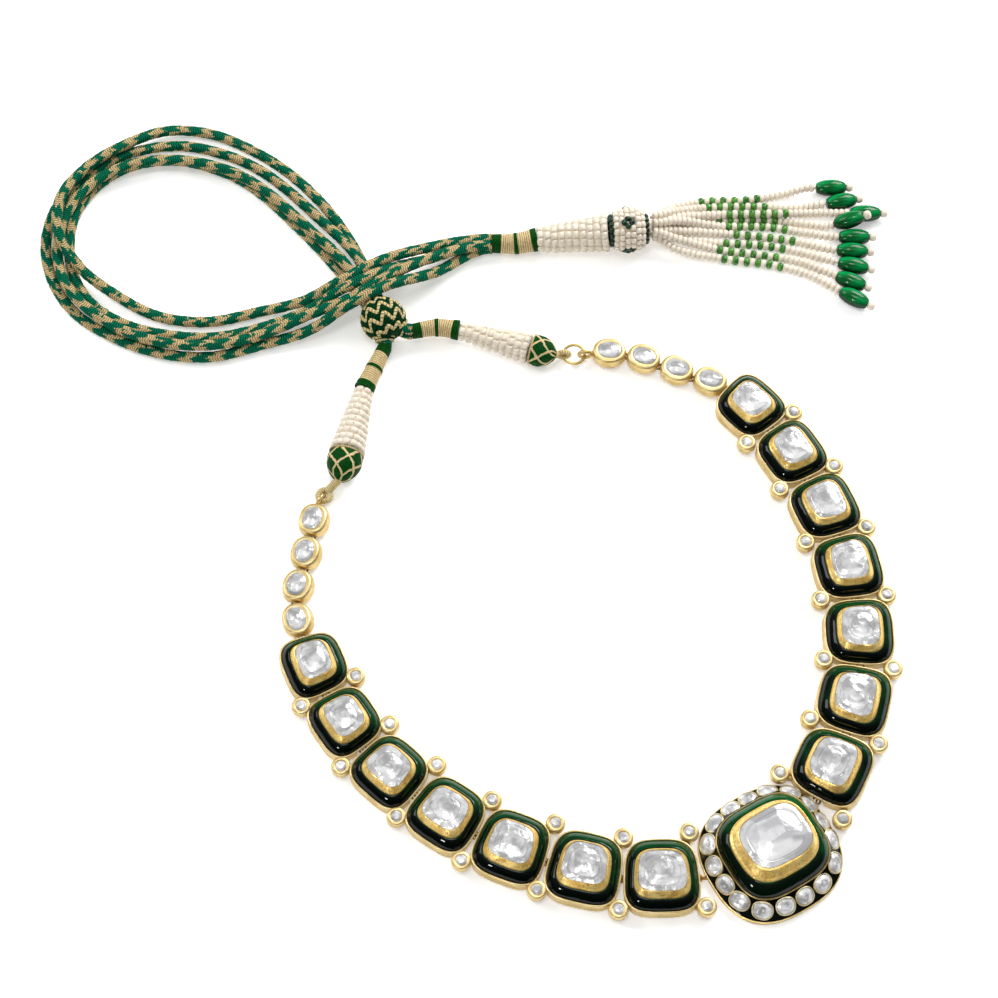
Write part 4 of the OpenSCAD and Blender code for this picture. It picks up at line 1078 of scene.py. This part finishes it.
def pendant():
    case = Shape()
    rows = [at_height(outer_edge(grow), z) for grow, z in OUTER_ROWS]
    rows += [at_height(ring_edge(grow), z) for grow, z in RING_ROWS]
    marks = [0] * len(rows)
    seat = np.array(PENDANT_STONE_HALF) + [0.25, -0.2]
    waves = wobble(PENDANT_SIDES, 41, 0.012)
    for share, z, n in BEZEL_ROWS:
        outline = pendant_outline(lerp(BEZEL_SHOWN, seat, share), n, lerp(BEZEL_SHIFT, STONE_SHIFT, share))
        rows.append(at_height(outline, z * waves if share > 0.05 else z))
    lip = wobble(PENDANT_SIDES, 77, PENDANT_STONE_UNEVEN)[:, None]
    for grow, z in ((0.02, 7.55), (0, 7.3), (0, 5.46)):
        outline = pendant_outline(seat + grow, PENDANT_STONE_N, STONE_SHIFT)
        rows.append(at_height((outline - STONE_SHIFT) * lip + STONE_SHIFT, z))
    marks += [1] * (len(rows) - 1 - len(marks))
    case.loft(rows, marks)
    petals = Shape()
    for seed, degrees in enumerate(PETAL_ANGLES, 300):
        place, half = petal_frame(degrees)
        half = half * [1.07, 0.96]
        uneven = wobble(PETAL_SIDES, seed, 0.04)[:, None]
        rows = [at_height(squircle(half + grow, PETAL_N, PETAL_SIDES) * uneven, z) for grow, z in SLEEVE_ROWS]
        case.loft(rows, 2, place)
        gem(petals, place, half, PETAL_N, PETAL_SIDES, seed, PETAL_ROWS, 0.05, shift=0.22)
    for arm in ARMS.values():
        at = Matrix.Translation((*arm["start"], 0)) @ rotation(arm["headings"][0] + 180)
        eyes(case, at, 3, upright_x=EYE_REACH)
        case.rod((0.7, 0, 0.62), (3, 0, 0.62), 0.3, 3, at)
    case.finish("pendant_case_dressed", [GOLD, FOIL, COLLAR, SHADED_WIRE], ["pendant_case"], sharp=45)
    petals.finish("petal_stones_cut", [PETAL_STONE], ["petal_stones"], sharp=20)

    border = Shape()
    rows = [at_height(outer_edge(-0.25), 0.98), at_height(outer_edge(-0.24), 1.3)]
    for t in (0.02, 0.1, 0.25, 0.4, 0.55, 0.7, 0.85, 0.95, 1.0):
        sag = -0.22 * math.sin(math.pi * t)
        rows.append(at_height(outer_edge(-0.24) * (1 - t) + ring_edge(0.03) * t, lerp(1.36, 3.88, t) + sag))
    rows.append(at_height(ring_edge(0.03), 3.42))
    border.loft(rows, closed=True)
    border.finish("border_enamel", [BORDER], ["pendant_border"], sharp=60)

    ring = Shape()
    outer, inner = RING_SHOWN - 0.33, BEZEL_SHOWN + 0.04
    rows = []
    for t, z in RING_ENAMEL_ROWS:
        shift = lerp(RING_SHIFT, BEZEL_SHIFT, t)
        rows.append(at_height(pendant_outline(lerp(outer, inner, t), RING_N - 0.2 * t, shift), z))
    ring.loft(rows, closed=True)
    ring.finish("ring_enamel", [RING_ENAMEL], ["pendant_enamel"], sharp=60)

    stone = Shape()
    place = Matrix.Translation((*STONE_SHIFT, 0)) @ rotation(PENDANT_TURN)
    gem(stone, place, np.array(PENDANT_STONE_HALF) + [0.22, -0.23], PENDANT_STONE_N, PENDANT_SIDES, 77,
        domed_profile(*PENDANT_STONE, 0.80, 0.45), PENDANT_STONE_UNEVEN, round_to=2.5, shift=0.07)
    stone.finish("pendant_stone_cut", [BIG_STONE], ["pendant_stone"], sharp=20)
pendant()


# Ends, caps and wraps

def wound_torus(shape, ring_r, wire_r, frame_, mark, sides=48, wire_sides=16):
    """Ring bound with thread: rings of points along it, so its windings can be counted."""
    b = ring_angles(wire_sides, 0.5)
    r, z = ring_r + wire_r * np.cos(b), wire_r * np.sin(b)
    rows = []
    for k in range(sides + 1):
        a = k / sides * 2 * math.pi
        rows.append(np.column_stack([r * math.cos(a), r * math.sin(a), z]))
    step = 2 * math.pi * ring_r / sides
    shape.loft(rows, mark, frame_, u=[k * step for k in range(sides + 1)], caps=(False, False))


def wound_bar(shape, start, end, r1, r2, mark):
    length = (end - start).length
    count = max(2, round(length / 0.12))
    profile = []
    for k in range(count + 1):
        t = k / count
        turn = 0.035 * abs(math.sin(t * length * math.pi / 0.52))
        profile.append((lerp(r1, r2, t) * (1 + turn), t * length))
    shape.turn(profile, 24, mark, along(start, end), u=[z for _, z in profile])


# Rows of a cap: its lip stands in from the cone by millimetres, its dome is a share of the radius; each with
# the share of the cap's height
CAP_LIP = ((0.6, 0.0), (0.35, 0.02), (0.12, 0.10), (0.05, 0.22), (0.07, 0.32))
CAP_DOME = ((0.97, 0.42), (0.91, 0.53), (0.82, 0.64), (0.70, 0.75), (0.56, 0.84), (0.42, 0.91), (0.3, 0.955),
            (0.15, 0.985))


def end_cap(name, cone, height, eye_frame, ring_r, wire_r, neck_start, neck_r):
    big, small, r, _ = cone
    big, small = Vector(big), Vector(small)
    way = Vector((big.x - small.x, big.y - small.y, 0)).normalized()
    start = big + 0.3 * way
    profile = [(r - inset, t * height) for inset, t in CAP_LIP]
    profile += [(share * r, t * height) for share, t in CAP_DOME]
    cap = Shape()
    cap.turn(profile, 72, 0, along(start, start + way), u=[z for _, z in profile])
    wound_torus(cap, ring_r, wire_r, eye_frame, 2)
    wound_bar(cap, neck_start, big + (height - 0.6) * way, neck_r, 0.95, 2)
    wound_torus(cap, r - 0.22, 0.2, along(start + 0.25 * way, start + 1.25 * way), 1, 72, 10)
    cap.finish(name + "_bound", [LATTICE, GOLD_FLOSS, EYE_THREAD], [name], sharp=50)


left_eye = LEFT_LUG + THREAD_RING_R * heading(LEFT_THREAD_HEADING)
end_cap("left_cap", LEFT_CONE, LEFT_CAP_H, Matrix.Translation(left_eye), THREAD_RING_R, THREAD_WIRE_R,
        left_eye + THREAD_RING_R * heading(LEFT_THREAD_HEADING), 0.9)
jump_centre = RIGHT_LUG - Vector((JUMP_RING_R, 0, 0))
right_eye = jump_centre - Vector((JUMP_RING_R - 0.05, 0, 0))
right_eye_frame = Matrix.Translation(right_eye) @ rotation(90, "X")
right_neck = right_eye - Vector((RIGHT_THREAD_RING_R, 0, 0))
end_cap("right_cap", RIGHT_CONE, RIGHT_CAP_H, right_eye_frame, RIGHT_THREAD_RING_R, RIGHT_THREAD_WIRE_R,
        right_neck, 0.8)
jump = Shape()
jump.torus(JUMP_RING_R, JUMP_WIRE_R, Matrix.Translation(jump_centre), 0, 64, 16)
jump.finish("end_ring_wire", [GOLD], ["end_ring"])

# Bands of each wrap from its cone on: share of the length, material (0 gold, 1 green), how proud it stands
WRAP_BANDS = ((0.13, 1, 0.12), (0.43, 0, 0.0), (0.51, 1, 0.12), (0.80, 0, 0.0), (1.01, 1, 0.05))


def wrap_rows(path, near, far):
    """Rings of a wrap that goes from half sizes near (across, up) to far, with a ridge for each turn."""
    frames = route_frames(smooth_route(path, 0.1))
    total = frames[-1][-1]
    a = ring_angles(32)
    rows, places, marks = [], [], []
    for p, across, up, distance in frames:
        t = distance / total
        _, kind, proud = next(band for band in WRAP_BANDS if t < band[0])
        turn = 0.05 * abs(math.sin(distance * math.pi / 0.5)) if kind == 0 else 0.02
        wide, high = (lerp(start, end, t) + proud + turn - 0.12 for start, end in zip(near, far))
        rows.append(section(p, across, up, wide, high, a))
        places.append(distance)
        marks.append(kind)
    return rows, places, marks[:-1]


wraps = Shape()
for path, near, far in (
        (LEFT_WRAP, (WRAP_R, WRAP_R), (1.65, WRAP_R)), (RIGHT_WRAP, (WRAP_R, WRAP_R), (1.6, WRAP_R)),
        (TAIL_WRAP[::-1], (TAIL_WRAP_R + 0.15, TAIL_WRAP_R + 0.1), (2.1, TAIL_WRAP_R - 0.15))):
    wrap_ring, wrap_place, wrap_mark = wrap_rows(path, near, far)
    wraps.loft(wrap_ring, wrap_mark, u=wrap_place)
wraps.finish("thread_wraps_bound", [GOLD_FLOSS, GREEN_FLOSS], ["thread_wraps"], sharp=60)


# Beads

# Radius and height along the hole, as shares of a bead's radius and half length
BEAD_PROFILE = ((0.28, -0.86), (0.55, -0.97), (0.80, -0.80), (0.95, -0.45), (1.0, 0), (0.95, 0.45),
                (0.80, 0.80), (0.55, 0.97), (0.28, 0.86))


def bead(shape, middle, way, radius, half_len, mark, sides=12):
    profile = [(r * radius, z * half_len) for r, z in BEAD_PROFILE]
    shape.turn(profile, sides, mark, pointing(middle, way))


def bead_cone(name, cone, pitch, seed):
    """Rings of beads side by side round a cone, their holes round it."""
    big, small, r1, r2 = cone
    big, small = Vector(big), Vector(small)
    way = (small - big).normalized()
    length = (small - big).length + 0.5
    across, up = upright(way)
    rng = random.Random(seed)
    shape = Shape()
    shape.turn(((r1 - 0.55, 0.1), (r2 - 0.45, length - 0.1)), 48, 1, along(big, small))
    size = pitch * 0.53
    rings = round(length / pitch)
    for j in range(rings):
        t = (j + 0.5) / rings
        reach = lerp(r1, r2, t) + 0.12 - size
        count = round(2 * math.pi * reach / (pitch * 0.98))
        half_len = math.pi * reach / count * 1.14
        phase = rng.uniform(0, 0.15)
        for k in range(count):
            out, onward = round_axis(across, up, (k + phase) / count * 2 * math.pi)
            jitter = Vector([rng.uniform(-1, 1) for _ in range(3)]) * 0.05
            scale = rng.uniform(0.95, 1.04)
            middle = big + way * (t * length) + reach * out + jitter
            bead(shape, middle, onward, size * scale, half_len * scale, 0)
    shape.finish(name + "_beads", [WHITE_BEAD, CREAM], [name])


bead_cone("left_cone", LEFT_CONE, 1.6, 11)
bead_cone("right_cone", RIGHT_CONE, 1.6, 12)
bead_cone("tail_cone", TAIL_CONE, 1.62, 13)


# The net ball: core (radius, height), rings of beads (place, radius, count, mark), and its green flowers by
# turn round the axis in degrees and place along it
BALL_CORE = (
    (1.2, -4.1), (3.4, -3.9), (4.2, -2.8), (4.45, -1), (4.45, 0.8), (4.1, 2.4), (3.2, 3.6), (1.2, 4.0))
BALL_RINGS = ((-4.1, 3.9, 15, 1), (-3.05, 4.75, 17, 0), (-1.85, 5.2, 20, 0), (-0.6, 5.4, 20, 0),
              (0.65, 5.38, 20, 0), (1.85, 5.15, 20, 0), (2.95, 4.6, 17, 0), (3.9, 3.6, 14, 1))
BALL_BEAD_R = 0.68
FLOWER_TURN = 11
FLOWER_AT = -0.5


def net_ball():
    """Net of beads over a ball: white with green flowers, closed at each end by a dark ring."""
    shape = Shape()
    axis = rotation(4) @ Vector((1, 0, 0))
    across, up = upright(axis)
    rng = random.Random(21)
    shape.turn(BALL_CORE, 48, 2, pointing(BALL_CENTRE, axis))
    flowers = [math.radians(FLOWER_TURN + 90 * k) for k in range(4)]

    def put(place, a, radius, kind, way):
        out = round_axis(across, up, a)[0]
        bead(shape, BALL_CENTRE + axis * place + (radius - BALL_BEAD_R) * out, way,
             BALL_BEAD_R * rng.uniform(0.95, 1.04), BALL_BEAD_R * 0.98, kind)

    for place, radius, count, kind in BALL_RINGS:
        for k in range(count):
            a = (k + 0.5 * (round(place * 2) % 2)) / count * 2 * math.pi
            near = min(abs((a - b + math.pi) % (2 * math.pi) - math.pi) for b in flowers) * radius
            if kind == 1 or math.hypot(near, place - FLOWER_AT) >= 1.55:
                put(place, a, radius, kind, round_axis(across, up, a)[1])
    for b in flowers:
        onward = round_axis(across, up, b)[1]
        for k in range(4):
            turn = math.radians(90 * k)
            put(FLOWER_AT + 0.9 * math.cos(turn), b + 0.9 * math.sin(turn) / 5.0, 5.5, 1,
                math.sin(turn) * axis + math.cos(turn) * onward)
        put(FLOWER_AT, b, 4.9, 0, axis)
    shape.finish("net_ball", [WHITE_BEAD, DARK_BEAD, CREAM], ["tail_ball"])


net_ball()


# Where each string's run of green and white beads begins, as x in millimetres
GREEN_FROM = (-9.5, -8.2, -6.0, -2.7, -3.0, -1.9, -4.0, -6.1, -4.5)
GREEN_RUN = 11
GREEN_PITCH = 1.29
BEAD_PITCH = 1.17
STRING_BEAD_R = 1.04
HEAD_ROWS = ((0.4, -0.7), (1.7, -0.7), (1.9, -0.4), (1.9, 0.1), (1.6, 0.5), (0.4, 0.5))

# Section of a glass drop with its bore: share of the radius, height; the upper end mirrors the lower
DROP_R = DROP_D / 2 + 0.2
DROP_BORE_R = 0.45
DROP_LOWER = [(share * DROP_R, z) for share, z in (
    (0.42, -3.48), (0.54, -3.40), (0.67, -3.05), (0.82, -2.4), (0.93, -1.6), (0.985, -0.8))]
DROP_SECTION = [
    (DROP_BORE_R, -3.4), *DROP_LOWER, (DROP_R, 0), *((r, -z) for r, z in reversed(DROP_LOWER)),
    *((DROP_BORE_R, z) for z in (3.4, 2, 0, -2))]


def drop_line(drop):
    """Middle of a drop and the way it points."""
    x, y, turn, near_z, far_z = drop
    a = math.radians(turn)
    way = Vector((math.cos(a) * DROP_LEN, math.sin(a) * DROP_LEN, far_z - near_z)).normalized()
    return Vector((x, y, (near_z + far_z) / 2)), way


def tassel():
    strings = Shape()
    glass = Shape()
    head = Matrix.Translation(TASSEL_HEAD) @ rotation(90, "Y")
    strings.turn(HEAD_ROWS, 40, 0, head)
    for number, (route, drop) in enumerate(zip(TASSEL_ROUTES, DROPS)):
        rng = random.Random(400 + number)
        middle, way = drop_line(drop)
        near = middle - (DROP_LEN / 2 + 0.15) * way
        far = middle + (DROP_LEN / 2 + 0.15 + 0.8) * way
        path = smooth_route([*route, near - 1.5 * way, near], 0.1, (1, 0, 0), way)
        rows, places = tube_rows(path[::5] + [path[-1]], 0.3, 8)
        strings.loft(rows, 3, u=places)
        distance, last, run = 0.0, 0.0, 0
        for p, q in zip(path, path[1:]):
            distance += (q - p).length
            in_run = p.x >= GREEN_FROM[number] and run < GREEN_RUN
            pitch = GREEN_PITCH if in_run else BEAD_PITCH
            if distance - last >= pitch and p.x < near.x - 0.2:
                last = distance
                run += in_run
                size = STRING_BEAD_R * rng.uniform(0.96, 1.04)
                lift = Vector((0, 0, rng.uniform(0.1, 0.16)))
                bead(strings, p + lift, q - p, size, pitch * 0.53, int(in_run and run % 2 == 1))
        strings.bar(near - 0.5 * way, far, 0.22, 0.22, 3)
        bead(strings, far, way, 1.02, 0.85, 0, 16)
        glass.turn(DROP_SECTION, 40, 0, pointing(middle, way), closed=True)
        strings.bar(middle - 3.3 * way, middle + 3.3 * way, 0.42, 0.42, 2)
    materials = [WHITE_BEAD, LIME_BEAD, DARK_CORE, CREAM]
    strings.finish("tassel_bead_strings", materials, ["tassel_strings"])
    glass.finish("tassel_glass_drops", [DROP_GLASS], ["tassel_drops"], sharp=60)


tassel()


# Slider knot

KNOT_TEETH = 9
KNOT_STEPS = 240
# Latitude of each zigzag row in degrees, material (0 gold, 1 green)
KNOT_ROWS = ((-64, 1), (-48, 0), (-32, 1), (-16, 0), (0, 1), (16, 0), (32, 1), (48, 0), (64, 1))


def slider_knot():
    """Ball knotted from doubled cord: zigzag rows of gold and green thread lapped over each other."""
    shape = Shape()
    axis = Vector((-0.42, 0.82, 0.12)).normalized()
    across, up = upright(axis)
    r = KNOT_D / 2
    base = [(math.cos(math.radians(a)) * (r - 0.62), math.sin(math.radians(a)) * (r - 0.62))
            for a in range(-86, 87, 4)]
    shape.turn(base, 64, 1, pointing(KNOT_CENTRE, axis))
    for number, (middle, kind) in enumerate(KNOT_ROWS):
        points = []
        swing = 12 if abs(middle) < 40 else 8
        for k in range(KNOT_STEPS):
            t = k / KNOT_STEPS
            zig = 2 * abs(2 * (t * KNOT_TEETH % 1) - 1) - 1
            latitude = math.radians(middle + swing * math.sin(math.pi / 2 * zig * 0.9))
            rise = r - (0.40 if kind else 0.24) + 0.12 * math.cos(2 * math.pi * t * KNOT_TEETH)
            out = round_axis(across, up, t * 2 * math.pi + number * 0.05)[0]
            points.append(KNOT_CENTRE + rise * (math.cos(latitude) * out + math.sin(latitude) * axis))
        band = closed_band(points, KNOT_CENTRE, 0.72 if kind else 0.42, 0.26)
        length = 2 * math.pi * r * math.cos(math.radians(middle))
        places = [k * length / KNOT_STEPS for k in range(KNOT_STEPS + 1)]
        shape.loft(band + band[:1], kind, u=places, caps=(False, False))
    for wrap in (RIGHT_WRAP, LEFT_WRAP):
        way = (Vector(wrap[-1]) - KNOT_CENTRE).normalized()
        foot = KNOT_CENTRE + way * (r - 1.2)
        for number in range(3):
            ring = along(foot + way * (0.45 * number), foot + way * (0.45 * number + 1))
            wound_torus(shape, 2.1 - 0.12 * number, 0.34, ring, number % 2, 48, 12)
    shape.finish("slider_knot_stitched", [KNOT_GOLD, KNOT_GREEN], ["slider_knot"], sharp=60)


def closed_band(points, centre, wide, thick):
    """Rings of a flattened strand that lies on a ball and closes on itself."""
    a = ring_angles(12)
    rings = []
    for k, p in enumerate(points):
        way = (points[(k + 1) % len(points)] - points[k - 1]).normalized()
        out = (p - centre).normalized()
        rings.append(section(p, way.cross(out).normalized(), out, wide, thick, a))
    return rings


slider_knot()


# Floor, light and camera

def paper_floor():
    size = 3.0
    corners = [(-size, -size, 0), (size, -size, 0), (size, size, 0), (-size, size, 0)]
    floor_mesh = bpy.data.meshes.new("floor")
    floor_mesh.from_pydata(corners, [], [(0, 1, 2, 3)])
    floor = bpy.data.objects.new("floor", floor_mesh)
    floor.location.z = -0.0001
    bpy.context.collection.objects.link(floor)
    paper = bpy.data.materials.new("white_paper")
    paper.use_nodes = True
    shader = paper.node_tree.nodes["Principled BSDF"]
    for key, value in (("Base Color", (0.94, 0.94, 0.94, 1)), ("Roughness", 0.9), ("Specular IOR Level", 0.0),
                       ("Emission Color", (1, 1, 1, 1)), ("Emission Strength", 0.36)):
        shader.inputs[key].default_value = value
    floor_mesh.materials.append(paper)


def studio():
    """World that is brighter above and behind, with four square lamps."""
    world = bpy.data.worlds.new("studio")
    world.use_nodes = True
    sky = Nodes(world.node_tree)
    _, y, z = sky.split(sky.node("TexCoord", "Generated", {}))
    shade = sky.node("ValToRGB", "Color", {0: z})
    stops = shade.socket.node.color_ramp.elements
    stops.new(0.5)
    for stop, tone in zip(stops, (0.10, 0.24, 0.62)):
        stop.color = (*grey(tone), 1)
    side = sky.node("MapRange", 0, {
        "Value": y, "From Min": -0.9, "From Max": 0.6, "To Min": 0.25, "To Max": 1.1})
    background = sky.tree.nodes["Background"]
    sky.link(sky.scaled(shade, side), background.inputs["Color"])
    sky.link(1.0, background.inputs["Strength"])
    bpy.context.scene.world = world

    target = Vector((-0.05, 0.08, 0))
    for name, at, size, power in (
            ("key", (0.38, 0.72, 0.60), 0.50, 9.0),
            ("side", (-0.75, 0.30, 0.60), 0.40, 2.6),
            ("top", (-0.12, -0.02, 1.00), 0.26, 2.0),
            ("front", (-0.55, -0.70, 0.50), 0.10, 1.5)):
        light = bpy.data.lights.new(name, "AREA")
        light.shape = "SQUARE"
        light.size = size
        light.energy = power
        lamp = bpy.data.objects.new(name, light)
        lamp.location = at
        lamp.rotation_euler = (target - Vector(at)).to_track_quat("-Z", "Y").to_euler()
        bpy.context.collection.objects.link(lamp)


def camera():
    data = bpy.data.cameras.new("camera")
    data.lens = 86.5
    data.sensor_width = 36
    data.clip_start = 0.01
    obj = bpy.data.objects.new("camera", data)
    look_at = Vector((-55.84, 81.26, 0)) * MM
    tilt = math.radians(65)
    distance = 0.528
    obj.location = look_at + distance * Vector((0, -math.cos(tilt), math.sin(tilt)))
    obj.rotation_euler = (look_at - obj.location).to_track_quat("-Z", "Y").to_euler()
    bpy.context.collection.objects.link(obj)
    bpy.context.scene.camera = obj


paper_floor()
studio()
camera()
bpy.context.scene.view_settings.view_transform = "Standard"
